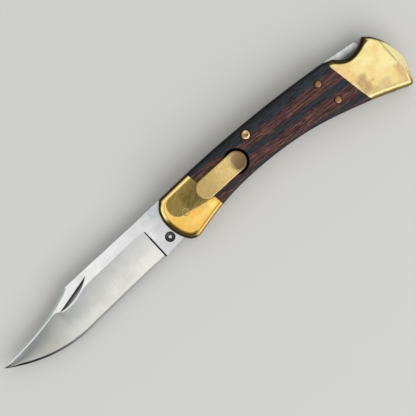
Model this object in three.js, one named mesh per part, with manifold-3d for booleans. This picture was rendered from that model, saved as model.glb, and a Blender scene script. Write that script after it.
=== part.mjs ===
// A lockback folding knife whose blade a spring throws open, shown open and lying on its pile side.
// X runs from the blade's tip to the butt, Y from the belly to the back and Z up to the show side.
// The origin is on the blade's pivot axis, level with the flat face that the knife lies on.
// Sizes are in millimetres.
import * as THREE from "three";
import { mergeVertices } from "three/addons/utils/BufferGeometryUtils.js";
import Module from "manifold-3d";

const wasm = await Module();
wasm.setup();

// Layers through the thickness
const coverThickness = 4.5;
const linerThickness = 1.4;
const bladeStock = 3;
const bladePlay = 0.1;

// Clearances, and how far a cutter runs past a face
const overcut = 1;
const pinPlay = 0.05;
const seamGap = 0.1;
const stopGap = 0.1;
const runningGap = 0.2;
const springGap = 0.15;

// Handle outline. The butt's reach from the pivot sets the places at the rear and the blade's length.
const noseReach = 10.3;
const noseY = 1.5;
const noseTopX = -6.2;
const noseTopY = 11;
const chinX = -2.4;
const chinY = -12.2;
const chinRounding = 2.5;
const waistX = 50;
const waistY = -3.5;
const buttReach = 114.6;
const buttY = -5;
const hornSetback = 8.8;
const hornY = 14.7;
const backRise = 2.8;
const toeSetback = 2.7;
const toeY = -15.3;
const toeRounding = 2.6;
const edgeRounding = 1.5;

// Thumb cut-out over the rear end of the lock bar
const notchSetback = 25.9;
const notchLowSetback = 16.6;
const notchLowY = 11.4;
const notchRounding = 2.3;

// Seams between bolsters and wood, where they cross Y = 0, and the flat facet at the butt
const frontSeamX = 13.4;
const rearSeamSetback = 24.3;
const seamLean = 15;
const facetSetback = 3.6;
const facetLean = 9;
const facetTilt = 16;

// Blade, in its open position
const tipInset = 10.8;
const tipY = -6.6;
const clipLength = 42.3;
const spineSlope = 0.1;
const clipScoop = 2.4;
const bellyLength = 43.8;
const bellyY = -15.2;
const bellyDepth = -18.6;
const plungeX = -19.8;
const plungeLean = 2;
const plungeRun = 0.9;
const choilX = -17.8;
const choilY = -10.1;
const ricassoRun = 3;
const heelX = -7.7;
const heelY = -8.5;
const grindTopY = 4.4;
const grindSlope = 0.113;
const nickBorder = 0.2;
const swedgeWidth = 1.1;
const bevelWidth = 1;
const shoulderThickness = 0.7;
const edgeThickness = 0.1;
const clipCorner = 0.3;
const tipBlunting = 0.2;
const tipTaper = 0.45;
const nickSetback = 0.75;
const nickY = 0.95;
const nickLength = 19.9;
const nickWidth = 2.9;
const nickDepth = 0.6;
const nickTurn = 18.4;

// Tang and pivot
const pivotRadius = 1.75;
const tangRadius = 10;
const tangStopX = 2;
const lockNotchDepth = 2.5;
const lockNotchEnd = 40;
const heelAngle = -123;
const closedAngle = 173;
const searX = -11.9;
const searY = -4.6;
const searHoleDiameter = 4.6;
const searHoleDepth = 1.4;

// Lock bar
const rockerX = 40.4;
const rockerY = 11;
const rockerRadius = 1.5;
const rockerHeadRadius = 2;
const rockerBossWall = 1.1;
const barUnderY = 10.4;
const barEndGap = 2.9;
const barRearRounding = 2;
const barChamfer = 0.6;
const kickPadY = 8.4;
const kickPadEndX = 13;
const kickPadRun = 7;

// Release lever, turned about its middle
const leverX = 21.65;
const leverY = 3.38;
const leverTurn = 5.1;
const leverSpan = 17.4;
const leverRadius = 4.5;
const leverThickness = 1.7;
const leverRounding = 0.45;
const leverRock = 7;
const dishRadius = 3.3;
const dishDepth = 0.55;
const dishRim = 0.8;
const pocketReveal = 1.3;
const recessReveal = 0.25;
const saddleLength = 5.2;
const saddleWidth = 7;
const footLength = 3.2;
const footWidth = 3;
const leverPinRadius = 0.75;
const leverPinDepth = 2;
const searPinRadius = 1;
const searPinSeat = 0.9;

// Scale rivets
const rivetShankRadius = 1.2;
const rivetHeadRadius = 1.6;
const rivetHeadDepth = 0.9;
const rivetRing = 0.3;
const headDome = 0.25;
const dimpleRadius = 0.6;
const dimpleDepth = 0.35;
const upperRivetInset = 11.9;
const upperRivetY = 9.6;
const lowerRivetInset = 9;
const lowerRivetY = -1;

// Rear spacer, its dowels and the lock spring
const tipRoom = 1;
const dowelRadius = 1.25;
const dowelSeat = 1.8;
const upperDowelSetback = 5.8;
const upperDowelY = 8.2;
const lowerDowelSetback = 5;
const lowerDowelY = -8.5;
const leafThickness = 1;
const leafAnchorSetback = 6.1;
const leafAnchorY = 4;
const leafRun = 24.5;

// Coil springs
const kickWire = 0.9;
const kickCoilRadius = 3.4;
const kickPitch = 1.4;
const kickTurns = 2.2;
const kickLeg = 5;
const kickHook = 0.9;
const leverWire = 0.5;
const leverCoilRadius = 1.8;
const leverCoilTurns = 4;

const hornX = buttReach - hornSetback;
const toeX = buttReach - toeSetback;
const notchX = buttReach - notchSetback;
const notchLowX = buttReach - notchLowSetback;
const rearSeamX = buttReach - rearSeamSetback;
const tipX = tipInset - buttReach;
const clipX = tipX + clipLength;
const bellyX = tipX + bellyLength;
const nickX = clipX + nickSetback;
const ricassoX = choilX + ricassoRun;

const pileLinerZ = coverThickness;
const slotZ = pileLinerZ + linerThickness;
const stockZ = slotZ + bladePlay;
const stockTopZ = stockZ + bladeStock;
const showLinerZ = stockTopZ + bladePlay;
const showCoverZ = showLinerZ + linerThickness;
const faceZ = showCoverZ + coverThickness;
const middleZ = faceZ / 2;
const roundSides = 24;
const curveSteps = 3;
const roundingSteps = 3;
const far = 300;

const radians = THREE.MathUtils.degToRad;
const lerp = THREE.MathUtils.lerp;

const brass = new THREE.MeshStandardMaterial({ color: 0xd9b65c, metalness: 1, roughness: 0.3 });
const leverBrass = new THREE.MeshStandardMaterial({ color: 0xdcc37d, metalness: 1, roughness: 0.45 });
const wood = new THREE.MeshStandardMaterial({ color: 0x4d3335, metalness: 0, roughness: 0.45 });
const bladeSteel = new THREE.MeshStandardMaterial({ color: 0xd5d3cc, metalness: 1, roughness: 0.25 });
const springSteel = new THREE.MeshStandardMaterial({ color: 0x9a9ca0, metalness: 1, roughness: 0.4 });

// Joining and cutting

function solid(geometry) {
  const bare = new THREE.BufferGeometry();
  bare.setAttribute("position", geometry.getAttribute("position"));
  bare.setIndex(geometry.index);
  const merged = mergeVertices(bare, 1e-4);
  const corners = merged.index.array;
  const triVerts = [];
  for (let i = 0; i < corners.length; i += 3) {
    const [a, b, c] = corners.slice(i, i + 3);
    if (a !== b && b !== c && c !== a) triVerts.push(a, b, c);
  }
  return new wasm.Manifold(
    new wasm.Mesh({
      numProp: 3,
      vertProperties: merged.getAttribute("position").array,
      triVerts: new Uint32Array(triVerts),
    }),
  );
}

function skin(body) {
  const { vertProperties, triVerts } = body.getMesh();
  const geometry = new THREE.BufferGeometry();
  geometry.setAttribute("position", new THREE.BufferAttribute(vertProperties, 3));
  geometry.setIndex(new THREE.BufferAttribute(triVerts, 1));
  return geometry;
}

function piece(name, body, material, parent) {
  const faceted = skin(body).toNonIndexed();
  faceted.computeVertexNormals();
  const mesh = new THREE.Mesh(faceted, material);
  mesh.name = name;
  parent.add(mesh);
  return mesh;
}

function prism(shape, lowZ, highZ) {
  const geometry = new THREE.ExtrudeGeometry(shape, {
    depth: highZ - lowZ,
    bevelEnabled: false,
    curveSegments: curveSteps,
  });
  return solid(geometry.translate(0, 0, lowZ));
}

function disc(x, y, radius, lowZ, highZ) {
  const geometry = new THREE.CylinderGeometry(radius, radius, highZ - lowZ, roundSides);
  geometry.rotateX(Math.PI / 2);
  return solid(geometry.translate(x, y, (lowZ + highZ) / 2));
}

function block(lowX, highX, lowY, highY, lowZ, highZ) {
  const geometry = new THREE.BoxGeometry(highX - lowX, highY - lowY, highZ - lowZ);
  return solid(geometry.translate((lowX + highX) / 2, (lowY + highY) / 2, (lowZ + highZ) / 2));
}

// A solid turned round Z from a profile of [radius, height] pairs that starts and ends on the axis.
function turned(profile, x = 0, y = 0) {
  const points = profile.map(([radius, height]) => new THREE.Vector2(radius, height));
  const geometry = new THREE.LatheGeometry(points, roundSides);
  geometry.rotateX(Math.PI / 2);
  return solid(geometry.translate(x, y, 0));
}

// The same shape on the other side of the knife.
function mirrored(body) {
  const geometry = skin(body);
  geometry.index.array.reverse();
  geometry.scale(1, 1, -1);
  return solid(geometry.translate(0, 0, faceZ));
}

function turnedAboutPivot(x, y, degrees) {
  return new THREE.Vector2(x, y).rotateAround(new THREE.Vector2(), radians(degrees));
}

// Handle outline

const backChord = new THREE.Vector2(hornX - noseTopX, hornY - noseTopY);
const backRadius = (backChord.lengthSq() / 4 + backRise ** 2) / (2 * backRise);
const backCentre = backChord
  .clone()
  .rotateAround(new THREE.Vector2(), -Math.PI / 2)
  .setLength(backRadius - backRise)
  .add(new THREE.Vector2((noseTopX + hornX) / 2, (noseTopY + hornY) / 2));

function backY(x) {
  return backCentre.y + Math.sqrt(backRadius ** 2 - (x - backCentre.x) ** 2);
}

function backAngle(x) {
  return Math.atan2(backY(x) - backCentre.y, x - backCentre.x);
}

function along(shape, points) {
  shape.splineThru(points.map(([x, y]) => new THREE.Vector2(x, y)));
}

// A point by its shares of the way, along X and along Y, from one point to another
function partWay([fromX, fromY], [toX, toY], shareX, shareY) {
  return [lerp(fromX, toX, shareX), lerp(fromY, toY, shareY)];
}

// The point at a distance from a corner, on the way to another point
function towards(corner, to, distance) {
  const share = distance / Math.hypot(to[0] - corner[0], to[1] - corner[1]);
  return partWay(corner, to, share, share);
}

function handleOutline() {
  const horn = [hornX, hornY];
  const butt = [buttReach, buttY];
  const toe = [toeX, toeY];
  const waist = [waistX, waistY];
  const chin = [chinX, chinY];
  const nose = [-noseReach, noseY];
  const noseTop = [noseTopX, noseTopY];
  const swell = partWay(waist, toe, 0.695, 0.525);
  const throat = partWay(waist, chin, 0.67, 0.41);
  const cheek = partWay(chin, nose, 0.68, 0.36);
  const shape = new THREE.Shape();
  shape.moveTo(...noseTop);
  shape.absarc(backCentre.x, backCentre.y, backRadius, backAngle(noseTopX), backAngle(hornX), true);
  along(shape, [
    partWay(horn, butt, 0.27, 0.08),
    partWay(horn, butt, 0.7, 0.35),
    partWay(horn, butt, 0.95, 0.7),
    butt,
    towards(toe, butt, toeRounding),
  ]);
  shape.quadraticCurveTo(...toe, ...towards(toe, swell, toeRounding));
  along(shape, [
    swell,
    partWay(waist, toe, 0.32, 0.12),
    waist,
    partWay(waist, chin, 0.38, 0.12),
    throat,
    towards(chin, throat, chinRounding),
  ]);
  shape.quadraticCurveTo(...chin, ...towards(chin, cheek, chinRounding));
  along(shape, [
    cheek,
    partWay(chin, nose, 0.94, 0.745),
    nose,
    partWay(nose, noseTop, 0.32, 0.63),
    noseTop,
  ]);
  return shape;
}

// The thumb cut-out widens to a round edge at both faces.
function notchCutter() {
  const beyond = 2 * edgeRounding;
  const front = [notchX, backY(notchX)];
  const low = [notchLowX, notchLowY];
  const rear = [hornX, hornY];
  const top = hornY + 4 * beyond;
  const shape = new THREE.Shape();
  shape.moveTo(notchX - 2 * beyond, backY(notchX) + beyond);
  along(shape, [
    front,
    partWay(front, low, 0.68, 0.8),
    low,
    partWay(low, rear, 0.64, 0.42),
    partWay(low, rear, 0.96, 0.97),
    [hornX + beyond, hornY + beyond],
  ]);
  shape.lineTo(hornX + beyond, top);
  shape.lineTo(notchX - 2 * beyond, top);
  const overrun = 0.05;
  const geometry = new THREE.ExtrudeGeometry(shape, {
    depth: faceZ - 2 * edgeRounding,
    bevelThickness: edgeRounding + overrun,
    bevelSize: -notchRounding,
    bevelOffset: notchRounding,
    bevelSegments: roundingSteps,
    curveSegments: curveSteps,
  });
  return solid(geometry.translate(0, 0, edgeRounding));
}

const outline = handleOutline();
const notch = notchCutter();

// One whole side of the handle outside its liner, on the show side, with a round edge
function coverBlank() {
  const geometry = new THREE.ExtrudeGeometry(outline, {
    depth: coverThickness,
    bevelThickness: edgeRounding,
    bevelSize: edgeRounding,
    bevelOffset: -edgeRounding,
    bevelSegments: roundingSteps,
    curveSegments: curveSteps,
  });
  const whole = solid(geometry.translate(0, 0, showCoverZ - edgeRounding));
  const facet = new THREE.BoxGeometry(far, far, far)
    .translate(far / 2, 0, far / 2)
    .rotateY(radians(facetTilt))
    .rotateZ(radians(facetLean))
    .translate(buttReach - facetSetback, 0, faceZ);
  return whole
    .subtract(block(-far, far, -far, far, -far, showCoverZ))
    .subtract(solid(facet))
    .subtract(notch);
}

// Everything behind a seam, or behind a line that runs beside it
function behindSeam(seamX, shift) {
  const geometry = new THREE.BoxGeometry(far, far, far)
    .translate(far / 2 + shift, 0, 0)
    .rotateZ(radians(seamLean))
    .translate(seamX, 0, 0);
  return solid(geometry);
}

const searClosed = turnedAboutPivot(searX, searY, closedAngle);
const leverPinZ = faceZ - leverPinDepth;
const leverUnderZ = faceZ + runningGap;
const leverTopZ = leverUnderZ + leverThickness;
const leverRearX = leverSpan / 2;
const pocketRadius = leverRadius + pocketReveal;

// Shapes in the lever's own frame, placed where the lever lies
function inHandle(geometry) {
  return solid(geometry.rotateZ(radians(leverTurn)).translate(leverX, leverY, 0));
}

function oblong(frontX, rearX, radius) {
  const shape = new THREE.Shape();
  shape.absarc(rearX, 0, radius, -Math.PI / 2, Math.PI / 2, false);
  shape.absarc(frontX, 0, radius, Math.PI / 2, (3 * Math.PI) / 2, false);
  return shape;
}

// Room for the lever in the front of the wood: slot for its saddle, pocket under its rear end,
// and a shallow recess that its rear half dips into.
function leverRoom() {
  const slot = new THREE.BoxGeometry(
    saddleLength + 2 * seamGap,
    saddleWidth + 2 * seamGap,
    2 * coverThickness,
  ).translate(0, 0, faceZ);
  const pocket = new THREE.CylinderGeometry(pocketRadius, pocketRadius, far, roundSides)
    .rotateX(Math.PI / 2)
    .translate(leverRearX, 0, showCoverZ + far / 2);
  const recessDepth = leverRearX * Math.sin(radians(leverRock)) - runningGap;
  const recess = new THREE.ExtrudeGeometry(oblong(0, leverRearX, leverRadius + recessReveal), {
    depth: far,
    bevelEnabled: false,
    curveSegments: roundSides / 4,
  }).translate(0, 0, faceZ - recessDepth);
  return inHandle(slot).add(inHandle(pocket)).add(inHandle(recess));
}

// The sear pin swings a little as the lever rocks, so its way is wider than the pin.
const searSwing = (leverPinZ - stockTopZ) * Math.sin(radians(leverRock));
const searWay = disc(searClosed.x, searClosed.y, searPinRadius + searSwing + seamGap, stockTopZ, far);
const pivotHole = disc(0, 0, pivotRadius + pinPlay, -overcut, faceZ + overcut);
const rockerHole = disc(rockerX, rockerY, rockerRadius + pinPlay, -overcut, faceZ + overcut);
const rivetPlaces = {
  upper: [rearSeamX - upperRivetInset, upperRivetY],
  lower: [rearSeamX - lowerRivetInset, lowerRivetY],
};
const dowelPlaces = {
  upper: [buttReach - upperDowelSetback, upperDowelY],
  lower: [buttReach - lowerDowelSetback, lowerDowelY],
};

// Counterbore and shank hole of a headed pin, on the show side
function headRoom(x, y, headRadius, shankRadius) {
  return disc(x, y, headRadius + rivetRing, faceZ - rivetHeadDepth, faceZ + overcut).add(
    disc(x, y, shankRadius + pinPlay, middleZ, faceZ + overcut),
  );
}

function dowelHole([x, y]) {
  const reach = dowelSeat + pinPlay;
  return disc(x, y, dowelRadius + pinPlay, pileLinerZ - reach, showCoverZ + reach);
}

// The spring under the pivot sits in a round pocket, with a slot for its fixed leg.
const kickFloorZ = slotZ - bladePlay - (kickTurns * kickPitch + kickWire);
const kickEnd = new THREE.Vector2(kickCoilRadius, 0).rotateAround(
  new THREE.Vector2(),
  -2 * Math.PI * kickTurns,
);
const kickRoom = kickWire / 2 + springGap;
const kickPocket = disc(0, 0, kickCoilRadius + kickRoom, kickFloorZ - springGap, slotZ + overcut);
const kickSlot = block(
  kickCoilRadius - kickRoom,
  kickCoilRadius + kickRoom,
  0,
  kickLeg + springGap,
  kickFloorZ - springGap,
  slotZ,
);

const knife = new THREE.Group();

// Bolsters and wood, three pieces a side from one blank so that their faces are flush
function sidePieces(side, blank, extraCuts) {
  const half = seamGap / 2;
  let plate = blank;
  for (const cut of [pivotHole, ...extraCuts]) plate = plate.subtract(cut);
  const front = plate.subtract(behindSeam(frontSeamX, -half));
  const middle = plate
    .intersect(behindSeam(frontSeamX, half))
    .subtract(behindSeam(rearSeamX, -half));
  const rear = plate.intersect(behindSeam(rearSeamX, half));
  piece("front_bolster_" + side, front, brass, knife);
  piece("scale_" + side, middle, wood, knife);
  piece("rear_bolster_" + side, rear, brass, knife);
}

function headRooms() {
  return [
    headRoom(rockerX, rockerY, rockerHeadRadius, rockerRadius),
    ...Object.values(rivetPlaces).map(([x, y]) => headRoom(x, y, rivetHeadRadius, rivetShankRadius)),
  ];
}

function covers() {
  const dowels = Object.values(dowelPlaces).map(dowelHole);
  const blank = coverBlank();
  sidePieces("show", blank, [...headRooms(), ...dowels, leverRoom(), searWay]);
  sidePieces("pile", mirrored(blank), [
    ...headRooms().map(mirrored),
    ...dowels,
    kickPocket,
    kickSlot,
  ]);
}

function liner(lowZ, extraCuts) {
  let plate = prism(outline, lowZ, lowZ + linerThickness).subtract(notch);
  const rivets = Object.values(rivetPlaces).map(([x, y]) =>
    disc(x, y, rivetShankRadius + pinPlay, lowZ - overcut, lowZ + linerThickness + overcut),
  );
  const cuts = [pivotHole, rockerHole, ...rivets, ...Object.values(dowelPlaces).map(dowelHole)];
  for (const cut of [...cuts, ...extraCuts]) plate = plate.subtract(cut);
  return plate;
}

// The block that fills the butt, clear of the tip of the blade as it swings
function rearSpacer() {
  const tipSweep = Math.hypot(tipX, tipY) + tipRoom;
  const sweep = new THREE.CylinderGeometry(tipSweep, tipSweep, far, 8 * roundSides);
  let body = prism(outline, slotZ, showLinerZ)
    .subtract(solid(sweep.rotateX(Math.PI / 2)))
    .subtract(notch)
    .subtract(prism(leafShape(pinPlay), slotZ - overcut, showLinerZ + overcut));
  for (const place of Object.values(dowelPlaces)) body = body.subtract(dowelHole(place));
  return body;
}

// Leaf spring: its rear end sits in the spacer, its front end pushes up on the lock bar.
function leafShape(growth) {
  const half = leafThickness / 2 + growth;
  const tipMidY = barUnderY - springGap - leafThickness / 2;
  const anchorX = buttReach - leafAnchorSetback;
  const anchor = [anchorX, leafAnchorY];
  const tip = [anchorX - leafRun, tipMidY];
  const middle = [
    [anchorX + growth, leafAnchorY],
    partWay(anchor, tip, 0.22, 0),
    partWay(anchor, tip, 0.47, 0.3),
    partWay(anchor, tip, 0.74, 0.74),
    tip,
  ];
  const shape = new THREE.Shape();
  shape.moveTo(middle[0][0], middle[0][1] - half);
  shape.lineTo(middle[0][0], middle[0][1] + half);
  along(shape, middle.slice(1).map(([x, y]) => [x, y + half]));
  shape.lineTo(tip[0], tip[1] - half);
  along(shape, middle.slice(1, -1).reverse().map(([x, y]) => [x, y - half]));
  return shape;
}

// Blade

function spineY(x) {
  const straight = noseTopY + spineSlope * (Math.max(x, clipX) - noseTopX);
  if (x >= clipX) return straight;
  const share = (clipX - x) / (clipX - tipX);
  return lerp(straight, tipY, share) - 4 * clipScoop * share * (1 - share);
}

function edgeY(x) {
  if (x > choilX) return lerp(heelY, choilY, (heelX - x) / (heelX - choilX));
  if (x > bellyX) return lerp(choilY, bellyY, (choilX - x) / (choilX - bellyX));
  const t = (x - tipX) / (bellyX - tipX);
  return (1 - t) ** 2 * tipY + 2 * t * (1 - t) * bellyDepth + t ** 2 * bellyY;
}

// The line between the flat flank and the hollow grind dips round the nail nick.
function grindY(x) {
  const nickLowY = nickY - nickWidth - nickBorder;
  const nickHalf = nickLength / 2;
  const dipX = nickX + 1.1 * nickHalf;
  const line = [
    [plungeX, grindTopY],
    [dipX, grindTopY - grindSlope * (plungeX - dipX)],
    [nickX, nickLowY],
    [nickX - nickHalf, nickLowY - 2 * nickBorder],
    [nickX - 2 * nickHalf, nickLowY - 3 * nickBorder],
    [tipX, tipY],
  ];
  const next = Math.max(1, line.findIndex(([lineX]) => lineX <= x));
  const [beforeX, beforeY] = line[next - 1];
  const [afterX, afterY] = line[next];
  return lerp(beforeY, afterY, (beforeX - x) / (beforeX - afterX));
}

// One side of a cross-section, from spine to edge, as [height, distance from the middle plane]
function bladeSection(x, ground) {
  const spine = spineY(x);
  const edge = edgeY(x);
  const height = spine - edge;
  const towardsTip = THREE.MathUtils.clamp((clipX - x) / (clipX - tipX), 0, 1);
  const half = (bladeStock / 2) * lerp(1, tipTaper, towardsTip ** 2);
  const swedge = Math.min(swedgeWidth, 0.12 * height);
  const bevel = Math.min(bevelWidth, 0.2 * height);
  const lowest = edge + bevel + 0.15 * height;
  const grind = THREE.MathUtils.clamp(grindY(x), lowest, spine - swedge - 0.1 * height);
  const shoulder = Math.min(shoulderThickness / 2, 0.6 * half);
  const spineHalf = x < clipX ? 0.35 * half : half;
  const shoulderY = edge + bevel;
  const hollow = [0, 0.2, 0.45, 0.72, 1].map((share) => [
    lerp(grind, shoulderY, share),
    lerp(half, lerp(half, shoulder, 1 - (1 - share) ** 2), ground),
  ]);
  return [
    [spine, spineHalf],
    [spine - swedge, half],
    ...hollow,
    [edge, lerp(half, edgeThickness / 2, ground)],
  ];
}

// Sections from the ricasso to the tip, skinned and capped. Those at the plunge lean with it.
function groundBlade() {
  const midZ = stockZ + bladeStock / 2;
  const groundX = plungeX - plungeRun;
  const sections = [
    [ricassoX, 0, 0],
    [plungeX, 0, plungeLean],
    [groundX, 1, plungeLean],
  ];
  const flatSteps = 8;
  const clipSteps = 14;
  for (let i = 1; i <= flatSteps; i++) sections.push([lerp(groundX, clipX, i / flatSteps), 1, 0]);
  for (let i = 0; i <= clipSteps; i++) {
    sections.push([lerp(clipX - clipCorner, tipX + tipBlunting, i / clipSteps), 1, 0]);
  }
  const positions = [];
  for (const [x, ground, lean] of sections) {
    const side = bladeSection(x, ground);
    const [spine, edge] = [side[0][0], side.at(-1)[0]];
    const ring = [...side, ...side.toReversed().map(([y, z]) => [y, -z])];
    for (const [y, z] of ring) {
      const leanX = x + lean * ((spine - y) / (spine - edge));
      positions.push(leanX, y, midZ + z);
    }
  }
  const ringSize = positions.length / 3 / sections.length;
  const index = [];
  for (let s = 0; s + 1 < sections.length; s++) {
    for (let i = 0; i < ringSize; i++) {
      const a = s * ringSize + i;
      const b = s * ringSize + ((i + 1) % ringSize);
      index.push(a, a + ringSize, b, b, a + ringSize, b + ringSize);
    }
  }
  const last = (sections.length - 1) * ringSize;
  for (let i = 0; i + 1 < ringSize / 2; i++) {
    const mate = ringSize - 1 - i;
    index.push(i, i + 1, mate, i + 1, mate - 1, mate);
    index.push(last + i, last + mate, last + i + 1, last + i + 1, last + mate, last + mate - 1);
  }
  const geometry = new THREE.BufferGeometry();
  geometry.setAttribute("position", new THREE.Float32BufferAttribute(positions, 3));
  geometry.setIndex(index);
  return solid(geometry);
}

function tangPlate() {
  const notchRadius = tangRadius - lockNotchDepth;
  const shape = new THREE.Shape();
  shape.moveTo(ricassoX, spineY(ricassoX));
  shape.lineTo(noseTopX, spineY(noseTopX));
  shape.lineTo(tangStopX, backY(tangStopX));
  const notchStart = Math.acos(tangStopX / notchRadius);
  shape.lineTo(tangStopX, notchRadius * Math.sin(notchStart));
  shape.absarc(0, 0, notchRadius, notchStart, radians(lockNotchEnd), true);
  shape.absarc(0, 0, tangRadius, radians(lockNotchEnd), radians(heelAngle), true);
  shape.lineTo(heelX, heelY);
  shape.lineTo(ricassoX, edgeY(ricassoX));
  const geometry = new THREE.ExtrudeGeometry(shape, {
    depth: bladeStock,
    bevelEnabled: false,
    curveSegments: roundSides / 2,
  });
  return solid(geometry.translate(0, 0, stockZ));
}

// Nail nick: straight and deep along its upper side, running out to nothing at its round lower side
function nailNick() {
  const radius = ((nickLength / 2) ** 2 + nickWidth ** 2) / (2 * nickWidth);
  const wheel = new THREE.CylinderGeometry(radius, radius, bladeStock, 4 * roundSides)
    .rotateX(Math.PI / 2)
    .translate(0, radius, bladeStock / 2)
    .rotateX(-Math.atan2(nickDepth, nickWidth))
    .translate(0, -nickWidth, 0);
  const below = new THREE.BoxGeometry(far, far, far).translate(0, -far / 2, 0);
  const place = (geometry) =>
    solid(geometry.rotateZ(radians(nickTurn)).translate(nickX, nickY, stockTopZ));
  return place(wheel).intersect(place(below));
}

function blade() {
  const searTop = searHoleDiameter / 2;
  const searHole = turned(
    [
      [0, stockTopZ - searHoleDepth],
      [0.35 * searTop, stockTopZ - searHoleDepth],
      [searTop, stockTopZ],
      [searTop, stockTopZ + overcut],
      [0, stockTopZ + overcut],
    ],
    searX,
    searY,
  );
  const wireTopZ = stockZ + kickHook + springGap;
  const wireHole = disc(kickEnd.x, kickEnd.y, kickRoom, stockZ - overcut, wireTopZ);
  return groundBlade()
    .add(tangPlate())
    .subtract(pivotHole)
    .subtract(nailNick())
    .subtract(searHole)
    .subtract(wireHole);
}

// Lock bar: its top is the knife's back, its front end stops the tang, and its heel stops the closed blade.
function lockBar() {
  const frontX = tangStopX + stopGap;
  const lugRadius = tangRadius + runningGap;
  const bossRadius = rockerRadius + rockerBossWall;
  const bossHalf = Math.sqrt(bossRadius ** 2 - (rockerY - barUnderY) ** 2);
  const bossStart = Math.atan2(barUnderY - rockerY, bossHalf);
  const lugEnd = Math.asin(kickPadY / lugRadius);
  const shape = new THREE.Shape();
  const rearX = hornX - barEndGap;
  const roundX = rearX - barRearRounding;
  shape.moveTo(frontX, backY(frontX));
  shape.absarc(backCentre.x, backCentre.y, backRadius, backAngle(frontX), backAngle(roundX), true);
  shape.quadraticCurveTo(rearX, backY(rearX), rearX, backY(rearX) - barRearRounding);
  shape.lineTo(rearX, barUnderY + barChamfer);
  shape.lineTo(rearX - barChamfer, barUnderY);
  shape.absarc(rockerX, rockerY, bossRadius, bossStart, -Math.PI - bossStart, true);
  shape.lineTo(kickPadEndX + kickPadRun, barUnderY);
  shape.lineTo(kickPadEndX, kickPadY);
  shape.absarc(0, 0, lugRadius, lugEnd, Math.acos(frontX / lugRadius), false);
  const geometry = new THREE.ExtrudeGeometry(shape, {
    depth: bladeStock,
    bevelEnabled: false,
    curveSegments: 12,
  });
  return solid(geometry.translate(0, 0, stockZ)).subtract(rockerHole);
}

// Pins

// A pin with a domed head on the show side, turned on from the profile of its lower end
function headedPin(lowerEnd, shankRadius, headRadius) {
  const seatZ = faceZ - rivetHeadDepth;
  const crownZ = faceZ + headDome;
  return turned([
    ...lowerEnd,
    [shankRadius, seatZ],
    [headRadius, seatZ],
    [headRadius, faceZ],
    [headRadius * 0.6, crownZ],
    [0, crownZ],
  ]);
}

function rockerPin() {
  const pileHead = [
    [0, 0],
    [rockerHeadRadius, 0],
    [rockerHeadRadius, rivetHeadDepth],
    [rockerRadius, rivetHeadDepth],
  ];
  const dimple = [
    [0, faceZ - dimpleDepth + headDome],
    [dimpleRadius, faceZ + headDome],
    [0, faceZ + headDome],
  ];
  return headedPin(pileHead, rockerRadius, rockerHeadRadius).subtract(turned(dimple));
}

function scaleRivet() {
  const lowerEnd = [
    [0, showLinerZ],
    [rivetShankRadius, showLinerZ],
  ];
  return headedPin(lowerEnd, rivetShankRadius, rivetHeadRadius);
}

function pins() {
  piece("pivot_pin", disc(0, 0, pivotRadius, 0, faceZ), brass, knife);
  piece("rocker_pin", rockerPin(), brass, knife).position.set(rockerX, rockerY, 0);
  for (const [place, [x, y]] of Object.entries(rivetPlaces)) {
    const rivet = scaleRivet();
    piece("scale_rivet_show_" + place, rivet, brass, knife).position.set(x, y, 0);
    const flush = rivet.subtract(block(-far, far, -far, far, faceZ, far));
    piece("scale_rivet_pile_" + place, mirrored(flush), brass, knife).position.set(x, y, 0);
  }
  for (const [place, [x, y]] of Object.entries(dowelPlaces)) {
    const dowel = disc(0, 0, dowelRadius, pileLinerZ - dowelSeat, showCoverZ + dowelSeat);
    piece("spacer_pin_" + place, dowel, springSteel, knife).position.set(x, y, 0);
  }
}

// Springs

function wire(points, diameter, steps) {
  const sides = 5;
  const section = [];
  for (let i = 0; i < sides; i++) {
    const corner = new THREE.Vector2(diameter / 2, 0);
    section.push(corner.rotateAround(new THREE.Vector2(), (2 * Math.PI * i) / sides));
  }
  const geometry = new THREE.ExtrudeGeometry(new THREE.Shape(section), {
    steps,
    extrudePath: new THREE.CatmullRomCurve3(points),
    bevelEnabled: false,
  });
  return solid(geometry);
}

function coil(radius, turns, lowZ, highZ, steps) {
  const points = [];
  for (let i = 0; i <= steps; i++) {
    const angle = (-2 * Math.PI * turns * i) / steps;
    const z = lerp(lowZ, highZ, i / steps);
    points.push(new THREE.Vector3(radius * Math.cos(angle), radius * Math.sin(angle), z));
  }
  return points;
}

// Torsion spring round the pivot: its lower leg lies in the bolster, its upper end stands in the tang.
function kickSpring() {
  const lowZ = kickFloorZ + kickWire / 2;
  const highZ = lowZ + kickTurns * kickPitch;
  const turns = coil(kickCoilRadius, kickTurns, lowZ, highZ, Math.round(12 * kickTurns));
  const leg = new THREE.Vector3(kickCoilRadius, kickLeg, lowZ);
  const legMiddle = new THREE.Vector3(kickCoilRadius, kickLeg / 2, lowZ);
  const hook = new THREE.Vector3(kickEnd.x, kickEnd.y, stockZ + kickHook);
  return wire([leg, legMiddle, ...turns, hook], kickWire, Math.round(20 * kickTurns));
}

function leverSpring() {
  const lowZ = showCoverZ + springGap + leverWire / 2;
  const highZ = leverUnderZ - springGap - leverWire / 2;
  const steps = Math.round(10 * leverCoilTurns);
  return wire(coil(leverCoilRadius, leverCoilTurns, lowZ, highZ, steps), leverWire, steps);
}

// Release lever with its foot, in its own frame

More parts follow.
